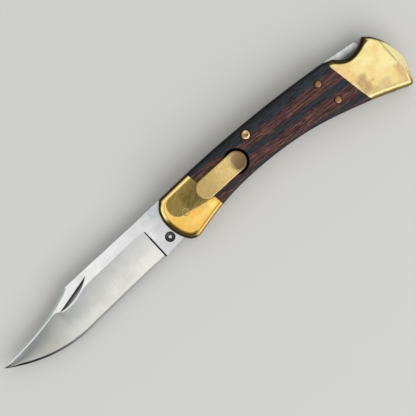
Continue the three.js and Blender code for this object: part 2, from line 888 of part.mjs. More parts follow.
function releaseLever() {
  const plate = new THREE.ExtrudeGeometry(oblong(-leverRearX, leverRearX, leverRadius), {
    depth: leverThickness - 2 * leverRounding,
    bevelThickness: leverRounding,
    bevelSize: leverRounding,
    bevelOffset: -leverRounding,
    bevelSegments: 2,
    curveSegments: roundSides / 4,
  }).translate(0, 0, leverUnderZ + leverRounding);
  const footRadius = footLength / 2;
  const footHeight = leverUnderZ + leverRounding - leverPinZ;
  const neck = new THREE.BoxGeometry(footLength, footWidth, footHeight);
  const dish = [[0, leverTopZ - dishDepth]];
  for (let ring = 1; ring <= roundingSteps; ring++) {
    const share = ring / roundingSteps;
    dish.push([dishRadius * share, leverTopZ - dishDepth * (1 - share ** 2)]);
  }
  dish.push([dishRadius, leverTopZ + overcut], [0, leverTopZ + overcut]);
  const searSpot = searClosed
    .clone()
    .sub(new THREE.Vector2(leverX, leverY))
    .rotateAround(new THREE.Vector2(), -radians(leverTurn));
  const seat = leverUnderZ + searPinSeat + pinPlay;
  return solid(plate)
    .add(solid(neck.translate(0, 0, leverPinZ + footHeight / 2)))
    .add(crossPin(footRadius, footWidth))
    .subtract(turned(dish, leverRearX + leverRadius - dishRadius - dishRim))
    .subtract(disc(searSpot.x, searSpot.y, searPinRadius + pinPlay, 0, seat))
    .subtract(crossPin(leverPinRadius + pinPlay, footWidth + overcut));
}

// A cylinder across the lever at the height that it rocks on
function crossPin(radius, length) {
  const geometry = new THREE.CylinderGeometry(radius, radius, length, roundSides);
  return solid(geometry.translate(0, 0, leverPinZ));
}

function leverSaddle() {
  const topZ = faceZ - 2 * runningGap;
  const floorZ = leverPinZ - footLength / 2 - springGap;
  const channelHalf = footWidth / 2 + bladePlay;
  const lengthHalf = saddleLength / 2;
  const widthHalf = saddleWidth / 2;
  return block(-lengthHalf, lengthHalf, -widthHalf, widthHalf, showCoverZ, topZ)
    .subtract(block(-far, far, -channelHalf, channelHalf, floorZ, far))
    .subtract(crossPin(leverPinRadius + pinPlay, far));
}

covers();
piece("liner_show", liner(showLinerZ, [searWay]), brass, knife);
piece("liner_pile", liner(pileLinerZ, [kickPocket]), brass, knife);
piece("rear_spacer", rearSpacer(), springSteel, knife);
pins();
piece("lock_spring", prism(leafShape(0), stockZ + bladePlay, stockTopZ - bladePlay), springSteel, knife);
piece("kick_spring", kickSpring(), springSteel, knife);
piece("blade", blade(), bladeSteel, knife);
piece("lock_bar", lockBar(), springSteel, knife);

const leverFrame = new THREE.Group();
leverFrame.position.set(leverX, leverY, 0);
leverFrame.rotation.z = radians(leverTurn);
knife.add(leverFrame);
piece("release_lever", releaseLever(), leverBrass, leverFrame);
piece("lever_saddle", leverSaddle(), brass, leverFrame);
piece("lever_pin", crossPin(leverPinRadius, saddleWidth), springSteel, leverFrame);
piece("lever_spring", leverSpring(), springSteel, leverFrame).position.set(leverRearX, 0, 0);

const searFoot = stockTopZ + stopGap;
const searPin = disc(0, 0, searPinRadius, searFoot, leverUnderZ + searPinSeat);
piece("sear_pin", searPin, springSteel, knife).position.set(searClosed.x, searClosed.y, 0);

export default knife;
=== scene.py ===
import math
import bmesh
import bpy
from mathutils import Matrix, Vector


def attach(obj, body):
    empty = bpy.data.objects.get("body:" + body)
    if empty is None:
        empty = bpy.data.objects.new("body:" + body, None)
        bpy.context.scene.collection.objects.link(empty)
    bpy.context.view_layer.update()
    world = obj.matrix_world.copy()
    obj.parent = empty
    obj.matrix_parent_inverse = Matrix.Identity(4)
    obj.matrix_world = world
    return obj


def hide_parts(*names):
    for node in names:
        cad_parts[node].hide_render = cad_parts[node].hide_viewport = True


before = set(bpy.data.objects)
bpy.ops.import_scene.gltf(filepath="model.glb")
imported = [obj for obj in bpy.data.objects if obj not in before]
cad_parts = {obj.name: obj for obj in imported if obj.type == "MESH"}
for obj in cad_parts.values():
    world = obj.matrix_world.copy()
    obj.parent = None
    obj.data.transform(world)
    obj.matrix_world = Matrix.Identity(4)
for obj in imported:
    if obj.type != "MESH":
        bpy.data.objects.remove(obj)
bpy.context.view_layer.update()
mm = 0.001
print("CAD frame loaded")

# Lengths below are in mm: X runs to the butt, Y to the back and Z up to the show side
layers = {
    "under": -1.0,
    "pileLiner": 4.5,
    "slot": 5.9,
    "stock": 6.0,
    "stockTop": 9.0,
    "showLiner": 9.1,
    "cover": 10.5,
    "face": 15.0,
    "above": 16.0,
    "over": 18.0,
}  # under, above and over are how far cutters reach
linerStock = 1.4
middle = layers["face"] / 2
hair = 0.01  # what counts as the same place


# Small helpers for working as in the viewport
def alone(piece):  # selects one piece and nothing else
    bpy.ops.object.select_all(action="DESELECT")
    piece.select_set(True)
    bpy.context.view_layer.objects.active = piece


def edit(piece):
    alone(piece)
    bpy.ops.object.mode_set(mode="EDIT")


def done():
    bpy.ops.object.mode_set(mode="OBJECT")


def settled(piece):  # puts its place, turn and scale in its mesh
    alone(piece)
    bpy.ops.object.transform_apply(location=True, rotation=True, scale=True)
    return piece


def named(name):  # the piece just added or copied
    piece = bpy.context.object
    piece.name = name
    piece.data.name = name
    return settled(piece)


def pick(piece, kind, test):  # selects the verts, edges or faces that pass the test
    mode = {"verts": "VERT", "edges": "EDGE", "faces": "FACE"}[kind]
    bpy.ops.mesh.select_mode(type=mode)
    bpy.ops.mesh.select_all(action="DESELECT")
    shape = bmesh.from_edit_mesh(piece.data)
    for part in getattr(shape, kind):
        if test(part):
            part.select_set(True)
    shape.select_flush_mode()
    bmesh.update_edit_mesh(piece.data)


def everything():
    bpy.ops.mesh.select_all(action="SELECT")


def slide(x=0, y=0, z=0):
    bpy.ops.transform.translate(value=(x * mm, y * mm, z * mm))


def turnAbout(angle, axis):  # turns what is selected about the origin
    bpy.ops.transform.rotate(value=-angle, orient_axis=axis, center_override=(0, 0, 0))


def outwards():  # merges doubles and points every face out
    everything()
    bpy.ops.mesh.remove_doubles(threshold=0.002 * mm)
    bpy.ops.mesh.normals_make_consistent(inside=False)


def middleOf(edge):  # in mm
    return (edge.verts[0].co + edge.verts[1].co) / (2 * mm)


def applied(piece, kind, **settings):  # adds a modifier and applies it
    alone(piece)
    modifier = piece.modifiers.new(kind.title(), kind)
    for name, value in settings.items():
        setattr(modifier, name, value)
    bpy.ops.object.modifier_apply(modifier=modifier.name)


def cutWith(piece, *cutters, how="DIFFERENCE"):
    for cutter in cutters:
        applied(piece, "BOOLEAN", operation=how, solver="EXACT", object=cutter)
        bpy.data.objects.remove(cutter)


def copied(piece, name):
    alone(piece)
    bpy.ops.object.duplicate(linked=False)
    return named(name)


def smoothed(piece, angle=30):  # smooth over the roundings while the flats stay flat
    alone(piece)
    bpy.ops.object.shade_smooth_by_angle(angle=math.radians(angle))
    applied(piece, "WEIGHTED_NORMAL", keep_sharp=True)


def rod(x, y, radius, low, high, sides=48, name="cutter", turn=0):
    bpy.ops.object.select_all(action="DESELECT")
    centre = (x * mm, y * mm, (low + high) / 2 * mm)
    bpy.ops.mesh.primitive_cylinder_add(
        vertices=sides, radius=radius * mm, depth=(high - low) * mm, location=centre, rotation=(0, 0, turn)
    )
    return named(name)


def block(x1, x2, y1, y2, z1, z2):
    bpy.ops.object.select_all(action="DESELECT")
    centre = ((x1 + x2) / 2 * mm, (y1 + y2) / 2 * mm, (z1 + z2) / 2 * mm)
    bpy.ops.mesh.primitive_cube_add(size=1, location=centre)
    bpy.context.object.scale = ((x2 - x1) * mm, (y2 - y1) * mm, (z2 - z1) * mm)
    return named("cutter")


# Lines drawn over the photograph
def stepped(start, end, steps):  # evenly spaced values, both ends among them
    return [start + (end - start) * s / steps for s in range(steps + 1)]


def arc(centre, radius, start, end, steps):
    angles = stepped(start, end, steps)
    return [(centre[0] + radius * math.cos(a), centre[1] + radius * math.sin(a)) for a in angles]


def throughPoints(points, steps):  # a smooth line through the points
    line, last = [], len(points) - 1
    for i in range(last):
        a, b, c, d = (Vector(points[min(max(k, 0), last)]) for k in (i - 1, i, i + 1, i + 2))
        for s in range(steps):
            t = s / steps
            bend = (a - 2.5 * b + 2 * c - d / 2) * t**2
            line.append(b + (c - a) * t / 2 + bend + ((b - c) * 1.5 + (d - a) / 2) * t**3)
    return line + [Vector(points[last])]


def roundedCorner(before, corner, after, radius, steps):
    before, corner, after = Vector(before), Vector(corner), Vector(after)
    start = corner + (before - corner).normalized() * radius
    end = corner + (after - corner).normalized() * radius
    return [start * (1 - t) ** 2 + corner * 2 * t * (1 - t) + end * t**2 for t in stepped(0, 1, steps)]


def between(line, x):  # the height of a line of (x, y) points that runs towards -X
    for (x1, y1), (x2, y2) in zip(line, line[1:]):
        if x >= x2:
            return y1 + (y2 - y1) * min(max((x1 - x) / (x1 - x2), 0), 1)
    return line[-1][1]


handleLine = {
    "noseTop": (-6.2, 11.0),
    "horn": (105.75, 14.72),
    "backRise": 2.8,
    "butt": [(108.2, 13.1), (112.0, 7.8), (114.3, 0.9), (114.7, -5.0)],
    "toe": (111.9, -15.3),
    "toeRounding": 2.1,
    "belly": [(93.0, -9.7), (69.8, -4.9), (50.0, -3.5), (30.1, -4.5), (14.9, -7.1)],
    "chin": (-2.4, -12.2),
    "chinRounding": 2.5,
    "nose": [
        (-5.15, -10.7), (-7.0, -8.6), (-8.5, -5.9), (-9.7, -2.4), (-10.25, 1.2), (-10.0, 4.5), (-9.0, 7.5),
    ],
    "notch": [
        (85.5, 17.6), (88.7, 15.44), (91.5, 13.0), (94.2, 11.45), (96.65, 11.05), (99.4, 11.5),
        (103.0, 12.8), (105.75, 14.72), (108.6, 17.6),
    ],
    "steps": 7,
    "cornerSteps": 6,
    "backSteps": 26,
    "clear": [1.7, 1.4, 3.0],  # room for the roundings beside the nose's top, the notch and the horn
}


def backHeight(x):  # the back of the handle is one long arc
    top, horn, rise = Vector(handleLine["noseTop"]), Vector(handleLine["horn"]), handleLine["backRise"]
    chord = horn - top
    radius = (chord.length_squared / 4 + rise**2) / (2 * rise)
    centre = (top + horn) / 2 + Vector((chord.y, -chord.x)).normalized() * (radius - rise)
    return centre.y + math.sqrt(radius**2 - (x - centre.x) ** 2)


def backLine(start, end, steps):
    return [Vector((x, backHeight(x))) for x in stepped(start, end, steps)]


def handleOutline():
    line = handleLine
    steps, few = line["steps"], line["cornerSteps"]
    toeEnd = roundedCorner(line["butt"][-1], line["toe"], line["belly"][0], line["toeRounding"], few)
    chinEnd = roundedCorner(line["belly"][-1], line["chin"], line["nose"][0], line["chinRounding"], few)
    notchWall = throughPoints(line["notch"], steps)[steps:-steps]
    outline = (
        backLine(line["noseTop"][0], line["notch"][1][0], line["backSteps"])
        + notchWall[1:]
        + throughPoints([line["horn"], *line["butt"], toeEnd[0]], steps)[1:-1]
        + toeEnd
        + throughPoints([toeEnd[-1], *line["belly"], chinEnd[0]], steps)[1:-1]
        + chinEnd
        + throughPoints([chinEnd[-1], *line["nose"], line["noseTop"]], steps)[1:-1]
    )
    corners = list(zip((line["noseTop"], line["notch"][1], line["horn"]), line["clear"]))
    return [
        point
        for point in outline
        if all(not 10 * hair < (point - Vector(corner)).length < clear for corner, clear in corners)
    ]


def drawn(name, points):  # a line drawn vertex by vertex, left open for editing
    bpy.ops.object.select_all(action="DESELECT")
    bpy.ops.mesh.primitive_plane_add(size=mm)
    piece = named(name)
    edit(piece)
    bpy.ops.mesh.select_mode(type="VERT")
    everything()
    bpy.ops.mesh.merge(type="CENTER")
    slide(*points[0])
    for here, there in zip(points, points[1:]):
        step = (Vector(there) - Vector(here)) * mm
        bpy.ops.mesh.extrude_vertices_move(TRANSFORM_OT_translate={"value": step})
    return piece


def traced(name, points, low, high):  # a plate drawn by its outline, filled and raised
    plate = drawn(name, [(point[0], point[1], low) for point in points])
    ends = (Vector((*points[0][:2], low)), Vector((*points[-1][:2], low)))
    pick(plate, "verts", lambda v: any((v.co / mm - end).length < hair for end in ends))
    bpy.ops.mesh.edge_face_add()
    everything()
    bpy.ops.mesh.edge_face_add()
    bpy.ops.mesh.extrude_region_move(TRANSFORM_OT_translate={"value": (0, 0, (high - low) * mm)})
    outwards()
    done()
    return plate


def mirroredToPile(piece, name):
    twin = copied(piece, name)
    edit(twin)
    everything()
    bpy.ops.transform.resize(value=(1, 1, -1), center_override=(0, 0, middle * mm))
    outwards()
    done()
    return twin


# Covers: bolster, wood, bolster on each side, cut from one blank
coverShape = {
    "edgeRounding": 1.6,
    "notchRounding": 2.5,
    "roundingSteps": 6,
    "notchSpan": (88.6, 105.8),
    "notchFloor": 10.8,
    "facetX": 111.3,
    "facetLean": 4.5,
    "facetTilt": 16,
    "facetBlock": 40,
    "topArea": 500,
    "rimSteps": [0.4, 0.5, 0.9],
    "nearPoints": 0.5,
    "frontSeam": 13.4,
    "rearSeam": 90.3,
    "seamLean": 15,
    "seamGap": 0.1,
    "brassEdge": 0.3,
    "woodEdge": 0.15,
}


def onNotch(point):  # true on the wall of the thumb cut-out
    start, end = coverShape["notchSpan"]
    return start < point.x < end and coverShape["notchFloor"] < point.y < backHeight(point.x) - 2 * hair


def facetCutter():  # a large block tilted over the butt's corner
    shape = coverShape
    half = shape["facetBlock"] / 2
    cutter = block(-half, half, -half, half, 0, 2 * half)
    cutter.rotation_euler = (0, math.radians(shape["facetTilt"]), math.radians(shape["facetLean"]))
    cutter.location = (shape["facetX"] * mm, 0, layers["face"] * mm)
    return settled(cutter)


def coverBlank():
    shape, steps = coverShape, coverShape["roundingSteps"]
    blank = traced("coverBlank", handleOutline(), layers["cover"], layers["face"])
    edit(blank)
    pick(blank, "edges", lambda e: isRim(e) and not onNotch(middleOf(e)))
    bpy.ops.transform.edge_bevelweight(value=shape["edgeRounding"] / shape["notchRounding"])
    pick(blank, "edges", lambda e: isRim(e) and onNotch(middleOf(e)))
    bpy.ops.transform.edge_bevelweight(value=1)
    done()
    width = shape["notchRounding"] * mm
    applied(blank, "BEVEL", width=width, segments=steps, limit_method="WEIGHT", use_clamp_overlap=False)
    edit(blank)
    for step in (*shape["rimSteps"], None):
        pick(blank, "faces", isTop)
        bpy.ops.mesh.remove_doubles(threshold=shape["nearPoints"] * mm)
        if step:
            pick(blank, "faces", isTop)
            bpy.ops.mesh.inset(thickness=step * mm, depth=0)
    outwards()
    done()
    return blank


def isTop(face):
    return face.normal.z > 0.999 and face.calc_area() > coverShape["topArea"] * mm * mm


def isRim(edge):  # an edge between the top and a wall
    if len(edge.link_faces) != 2:
        return False
    upright, level = sorted(abs(face.normal.z) for face in edge.link_faces)
    return upright < 0.1 and level > 0.9 and middleOf(edge).z > (layers["cover"] + layers["face"]) / 2


def seamCut(piece, seamX, side, edgeWidth):  # trims a cover at a seam and keeps what lies on that side
    lean = math.radians(coverShape["seamLean"])
    normal = Vector((math.cos(lean), math.sin(lean), 0))
    place = Vector((seamX, 0, 0)) + normal * side * coverShape["seamGap"] / 2
    edit(piece)
    everything()
    bpy.ops.mesh.bisect(
        plane_co=place * mm, plane_no=normal, use_fill=True, clear_inner=side > 0, clear_outer=side < 0
    )

    def onSeam(edge):  # lies in the cut, but not along its foot
        inCut = all(abs((v.co / mm - place).dot(normal)) < hair for v in edge.verts)
        return inCut and middleOf(edge).z > layers["cover"] + 0.5

    pick(piece, "edges", onSeam)
    bpy.ops.mesh.bevel(offset=edgeWidth * mm, segments=2, affect="EDGES")
    outwards()
    done()


blank = coverBlank()
print("cover blank", len(blank.data.polygons), "faces")
showCovers, pileCovers = {}, {}
coverSeams = {
    "frontBolster": (None, "frontSeam"),
    "woodScale": ("frontSeam", "rearSeam"),
    "rearBolster": ("rearSeam", None),
}
for cover, (front, rear) in coverSeams.items():
    part = copied(blank, cover + "Show")
    edge = coverShape["woodEdge" if cover == "woodScale" else "brassEdge"]
    if front:
        seamCut(part, coverShape[front], 1, edge)
    if rear:
        seamCut(part, coverShape[rear], -1, edge)
    if cover == "rearBolster":
        cutWith(part, facetCutter())
    showCovers[cover] = part
    pileCovers[cover] = mirroredToPile(part, cover + "Pile")
bpy.data.objects.remove(blank)
print("covers cut at the seams")


# Room in the covers for pins, lever and springs
pins = {
    "pivot": {"place": (0, 0), "shank": 1.75},
    "rocker": {"place": (40.4, 11.0), "shank": 1.5, "head": 2.0},
    "upperRivet": {"place": (78.4, 9.6), "shank": 1.2, "head": 1.6},
    "lowerRivet": {"place": (81.3, -1.0), "shank": 1.2, "head": 1.6},
    "headDepth": 0.9,
    "ring": 0.3,
    "play": 0.05,
    "dowels": [(108.8, 8.2), (109.6, -8.5)],
    "dowelRadius": 1.25,
    "dowelSeat": 1.8,
}
lever = {
    "centre": (21.65, 3.38),
    "turn": 5.1,
    "halfSpan": 8.7,
    "radius": 4.5,
    "low": 15.2,
    "high": 16.9,
    "rounding": 0.5,
    "dishRadius": 3.7,
    "dishDepth": 0.6,
    "dishPlace": 9.1,
    "pocketRadius": 5.8,
    "recessRadius": 4.75,
    "recessDepth": 0.86,
    "saddle": (5.4, 7.2),
    "searPin": (12.37, 3.12),
    "searWay": 1.6,
    "searHole": 1.05,
    "searHoleTop": 16.15,
    "neck": (3.2, 3.0),
    "neckTop": 15.7,
    "axisHeight": 13.0,
    "eye": (1.6, 3),
    "pinHole": (0.8, 4),
    "footBreak": 0.15,
    "sides": 96,
}
kickSpring = {
    "pocketRadius": 4.0,
    "floor": 2.0,
    "slot": (2.8, 4.0, 0, 5.15),
    "bladeHole": (3.1, -1.1, 0.62),
    "bladeHoleTop": 7.05,
}


def leverPlace(x, y=0):  # a place in the lever's own frame, as mm in the knife's
    turn = math.radians(lever["turn"])
    return (
        lever["centre"][0] + x * math.cos(turn) - y * math.sin(turn),
        lever["centre"][1] + x * math.sin(turn) + y * math.cos(turn),
    )


def turnedOnLever(piece):  # turns a piece drawn along X about the origin into the lever's place
    piece.rotation_euler.z = math.radians(lever["turn"])
    piece.location = (lever["centre"][0] * mm, lever["centre"][1] * mm, 0)
    return settled(piece)


def oblong(name, front, rear, radius, low, high, sides=64):  # a rod pulled out along X
    bar = rod(front, 0, radius, low, high, sides, name, math.pi / sides)
    edit(bar)
    pick(bar, "verts", lambda v: v.co.x > front * mm)
    slide(x=rear - front)
    done()
    return turnedOnLever(bar)


def hole(pin, low=layers["under"], high=layers["above"]):
    return rod(*pins[pin]["place"], pins[pin]["shank"] + pins["play"], low, high)


def headRooms(side):  # countersinks and shank holes, on the show side (1) or the pile side (-1)
    under, above, reach = layers["under"], layers["above"], pins["headDepth"]
    outer = (layers["face"] - reach, above) if side > 0 else (under, reach)
    through = (middle, above) if side > 0 else (under, middle)
    rooms = []
    for pin in ("rocker", "upperRivet", "lowerRivet"):
        rooms.append(rod(*pins[pin]["place"], pins[pin]["head"] + pins["ring"], *outer))
        rooms.append(hole(pin, *through))
    return rooms


def dowelHoles():
    reach = pins["dowelSeat"] + pins["play"]
    return [
        rod(x, y, pins["dowelRadius"] + pins["play"], layers["pileLiner"] - reach, layers["cover"] + reach)
        for x, y in pins["dowels"]
    ]


def leverRecess():  # the shallow room that the lever's rear half dips into
    floor = layers["face"] - lever["recessDepth"]
    return oblong("cutter", 0, lever["halfSpan"], lever["recessRadius"], floor, layers["over"])


def leverPocket():  # the deep round room under the lever's rear end
    place = leverPlace(lever["halfSpan"])
    return rod(*place, lever["pocketRadius"], layers["cover"] - 1, layers["over"], lever["sides"])


def saddleSlot():
    x, y = lever["saddle"][0] / 2, lever["saddle"][1] / 2
    return turnedOnLever(block(-x, x, -y, y, layers["cover"] - 1, layers["over"]))


def searWay():
    return rod(*lever["searPin"], lever["searWay"], layers["stockTop"], layers["over"])


def kickPocket():
    return rod(0, 0, kickSpring["pocketRadius"], kickSpring["floor"], layers["slot"] + 1)


cutWith(showCovers["frontBolster"], hole("pivot"), searWay(), leverRecess())
cutWith(showCovers["woodScale"], leverRecess(), leverPocket(), saddleSlot(), *headRooms(1))
cutWith(showCovers["rearBolster"], *dowelHoles())
springSlot = block(*kickSpring["slot"], kickSpring["floor"], layers["stock"])
cutWith(pileCovers["frontBolster"], hole("pivot"), kickPocket(), springSlot)
cutWith(pileCovers["woodScale"], *headRooms(-1))
cutWith(pileCovers["rearBolster"], *dowelHoles())


def rimMarked(cover):  # keeps how far each vertex lies from the handle's outline, in mm, for the painted highlights and shade along the rims and for the worn specks
    outline = handleOutline()
    mark = cover.data.attributes.new("rim", "FLOAT", "POINT")
    for vertex in cover.data.vertices:
        here = (vertex.co / mm).to_2d()
        away = math.inf
        for start, end in zip(outline, outline[1:] + outline[:1]):
            run = Vector(end) - Vector(start)
            share = min(max((here - Vector(start)).dot(run) / run.length_squared, 0), 1)
            away = min(away, (Vector(start) + run * share - here).length)
        mark.data[vertex.index].value = min(away, coverShape["edgeRounding"] + sum(coverShape["rimSteps"]))


for cover in (*showCovers.values(), *pileCovers.values()):
    smoothed(cover)
    rimMarked(cover)
print("pin and lever rooms cut")


# Liners, spacer and lock bar
barShape = {
    "frontX": 2.1,
    "rearX": 102.9,
    "rearRounding": 2.0,
    "under": 10.4,
    "chamfer": 0.6,
    "bossRadius": 2.6,
    "padY": 8.4,
    "padX": 13.0,
    "padRun": 7.0,
    "lugRadius": 10.2,
    "edge": 0.2,
    "edgeFrom": 80,
    "steps": {"back": 30, "rear": 6, "boss": 12, "lug": 8},
}
spacerShape = {
    "tipSweep": 105.01,
    "leaf": [(108.5, 4.0), (103.1, 4.0), (97.0, 5.7), (90.4, 8.25), (84.0, 9.75)],
    "leafHalf": 0.55,
    "cutter": (5, 10),
}


def rimBevel(piece, width, test, segments=2):  # breaks the sharp edges round a plate
    def sharp(edge):
        return len(edge.link_faces) == 2 and edge.calc_face_angle(0) > 0.9 and test(middleOf(edge))

    edit(piece)
    pick(piece, "edges", sharp)
    bpy.ops.mesh.bevel(offset=width * mm, segments=segments, affect="EDGES")
    outwards()
    done()


def linerPlate(name, low, extra):
    plate = traced(name, handleOutline(), low, low + linerStock)
    holes = [hole(pin, low - 1, low + 3) for pin in ("pivot", "rocker", "upperRivet", "lowerRivet")]
    cutWith(plate, *holes, *dowelHoles(), *extra)
    smoothed(plate)
    return plate


def barOutline():
    shape, steps = barShape, barShape["steps"]
    under, pad, chamfer = shape["under"], shape["padY"], shape["chamfer"]
    rocker, radius = pins["rocker"]["place"], shape["bossRadius"]
    low = math.asin((under - rocker[1]) / radius)
    boss = arc(rocker, radius, low, -math.pi - low, steps["boss"])
    lugEnds = math.asin(pad / shape["lugRadius"]), math.acos(shape["frontX"] / shape["lugRadius"])
    lug = arc((0, 0), shape["lugRadius"], *lugEnds, steps["lug"])
    rear, rounding = shape["rearX"], shape["rearRounding"]
    ahead, corner, below = (rear - 5, backHeight(rear - 5)), (rear, backHeight(rear)), (rear, 5)
    return (
        backLine(shape["frontX"], rear - rounding - 0.3, steps["back"])
        + roundedCorner(ahead, corner, below, rounding, steps["rear"])
        + [(rear, under + chamfer), (rear - chamfer, under)]
        + boss
        + [(shape["padX"] + shape["padRun"], under), (shape["padX"], pad)]
        + lug[:-1]
    )


linerShow = linerPlate("linerPlateShow", layers["showLiner"], [searWay()])
linerPile = linerPlate("linerPlatePile", layers["pileLiner"], [kickPocket()])
spacer = traced("steelSpacer", handleOutline(), layers["slot"], layers["showLiner"])
leafLine, leafHalf = throughPoints(spacerShape["leaf"], 6), spacerShape["leafHalf"]
leafSlot = [(x, y + leafHalf) for x, y in leafLine] + [(x, y - leafHalf) for x, y in reversed(leafLine)]
cutWith(
    spacer,
    rod(0, 0, spacerShape["tipSweep"], *spacerShape["cutter"], 256),
    traced("cutter", leafSlot, *spacerShape["cutter"]),
    *dowelHoles(),
)
smoothed(spacer)
lockBar = traced("lockBarSteel", barOutline(), layers["stock"], layers["stockTop"])
rimBevel(lockBar, barShape["edge"], lambda place: place.x > barShape["edgeFrom"])
cutWith(lockBar, hole("rocker"))
smoothed(lockBar)
print("liners, spacer and lock bar made")


# Blade
bladeShape = {
    "clipX": -61.5,
    "tip": (-104.2, -6.7),
    "spine": (-6.2, 11.0),
    "spineSlope": 0.1,
    "clipScoop": 2.4,
    "scoopEase": 0.35,
    "easeFrom": 0.35,
    "belly": (-60.0, -15.2),
    "bellyDepth": -19.1,
    "choil": (-17.8, -10.1),
    "heel": (-7.7, -8.5),
    "grind": [
        (-19.8, 4.4), (-30.0, 3.4), (-40.0, 2.2), (-50.0, 1.1), (-54.0, 0.5), (-56.0, -0.1),
        (-58.0, -1.0), (-60.0, -1.8), (-62.0, -2.35), (-64.0, -2.7), (-67.0, -2.9), (-69.0, -2.7),
        (-70.3, -1.6), (-71.5, -1.15), (-73.0, -1.25), (-75.0, -1.65), (-77.0, -2.15), (-80.5, -3.1),
        (-84.0, -4.0), (-90.0, -5.15), (-96.0, -6.3), (-100.0, -6.75), (-103.8, -6.9),
    ],
    "swedge": [
        (-61.5, 0.0), (-62.2, 1.0), (-64.0, 1.15), (-70.0, 1.15), (-75.0, 0.95), (-80.0, 0.75),
        (-85.0, 0.6), (-90.0, 0.38), (-96.0, 0.35), (-103.8, 0.2),
    ],
    "strip": 0.42,
    "most": {"swedge": 0.15, "strip": 0.16, "bevel": 0.2},  # of the blade's height, towards the tip
    "leastHollow": 0.15,
    "swedgeFall": 0.32,
    "leastSwedge": 0.04,
    "leastTop": 0.3,
    "mostShoulder": 0.6,
    "hollowRows": [0.05, 0.15, 0.3, 0.45, 0.6, 0.75, 0.88, 1],
    "edgeBevel": 1.0,
    "half": 1.5,
    "shoulderHalf": 0.36,
    "edgeHalf": 0.06,
    "tipTaper": 0.45,
    "plungeX": -19.8,
    "plungeLean": 2.0,
    "leanRun": 14,
    "plungeRun": 0.8,
    "plungeSteps": 6,
    "flankSteps": 48,
    "clipSteps": 60,
    "ricassoX": -14.8,
    "spineBreak": 0.18,
    "tangRadius": 10.0,
    "notchRadius": 7.5,
    "notchX": 2.0,
    "notchAngle": 40,
    "heelAngle": -123,
    "sear": (-11.9, -4.6),
    "searRadius": 2.3,
    "searFloor": 0.8,
    "searDepth": 1.4,
    "nick": (-60.75, 0.95),
    "nickLength": 19.9,
    "nickWidth": 2.2,
    "nickDepth": 0.6,
    "nickTurn": 18.4,
}


def spineHeight(x):
    shape = bladeShape
    straight = shape["spine"][1] + shape["spineSlope"] * (max(x, shape["clipX"]) - shape["spine"][0])
    if x >= shape["clipX"]:
        return straight
    share = (shape["clipX"] - x) / (shape["clipX"] - shape["tip"][0])
    scoop = shape["clipScoop"] * (1 - shape["scoopEase"] * max(0, share - shape["easeFrom"]))
    return straight + (shape["tip"][1] - straight) * share - 4 * scoop * share * (1 - share)


def edgeHeight(x):
    shape = bladeShape
    if x > shape["belly"][0]:
        return between([shape["heel"], shape["choil"], shape["belly"]], x)
    t = (x - shape["tip"][0]) / (shape["belly"][0] - shape["tip"][0])
    tip, deep, belly = shape["tip"][1], shape["bellyDepth"], shape["belly"][1]
    return (1 - t) ** 2 * tip + 2 * t * (1 - t) * deep + t**2 * belly


# Heights of the spine, the swedge's foot, the grinding line, the edge's shoulder and the edge
def bladeLines(x):
    shape, most = bladeShape, bladeShape["most"]
    spine, edge = spineHeight(x), edgeHeight(x)
    height = spine - edge
    onClip = x < shape["clipX"]
    foot = spine - (min(between(shape["swedge"], x), most["swedge"] * height) if onClip else 0)
    shoulder = edge + min(shape["edgeBevel"], most["bevel"] * height)
    strip = min(shape["strip"], most["strip"] * height) if onClip else 0
    lowest = shoulder + shape["leastHollow"] * height
    grind = min(max(between(shape["grind"], x), lowest), foot - strip)
    return spine, foot, grind, shoulder, edge


def bladeColumn(x, ground):  # the heights and half thicknesses of one cross-section, from spine to edge
    shape = bladeShape
    spine, foot, grind, shoulder, edge = bladeLines(x)
    height, swedge = spine - edge, spine - foot
    towardsTip = min(max((shape["clipX"] - x) / (shape["clipX"] - shape["tip"][0]), 0), 1)
    half = shape["half"] * (1 + (shape["tipTaper"] - 1) * towardsTip**2)
    shoulderHalf = min(shape["shoulderHalf"], shape["mostShoulder"] * half)
    top = max(half - shape["swedgeFall"] * swedge, shape["leastTop"] * half)
    column = [(spine, top), (spine - max(swedge, shape["leastSwedge"] * height), half), (grind, half)]
    for share in shape["hollowRows"]:
        hollow = half + (shoulderHalf - half) * (1 - (1 - share) ** 2)
        column.append((grind + (shoulder - grind) * share, half + (hollow - half) * ground))
    edgeHalf = half + (min(shape["edgeHalf"], half) - half) * ground
    return column + [(edge, edgeHalf)]


def bladeStations():  # places along the blade, with the ground share and the lean of each section
    shape = bladeShape
    plunge, lean, clip = shape["plungeX"], shape["plungeLean"], shape["clipX"]
    stations = [(shape["ricassoX"], 0, 0), (-16.0, 0, 0.6), (plunge + 0.5, 0, lean)]
    for share in stepped(0, 1, shape["plungeSteps"]):
        ground = 1 - math.cos(share * math.pi / 2) ** 2
        stations.append((plunge - shape["plungeRun"] * share, ground, lean))
    first = plunge - shape["plungeRun"]
    for x in stepped(first, clip, shape["flankSteps"])[1:]:
        stations.append((x, 1, lean * max(0, 1 - (first - x) / shape["leanRun"])))
    return stations + [(x, 1, 0) for x in stepped(clip, shape["tip"][0] + 0.15, shape["clipSteps"])[1:]]


def onSpine(edge):  # along the flat back, before the clip
    ends = [vertex.co / mm for vertex in edge.verts]
    outer = bladeShape["half"] - 0.1
    onBack = all(abs(end.y - spineHeight(end.x)) < hair and abs(end.z) > outer for end in ends)
    return onBack and middleOf(edge).x > bladeShape["clipX"]


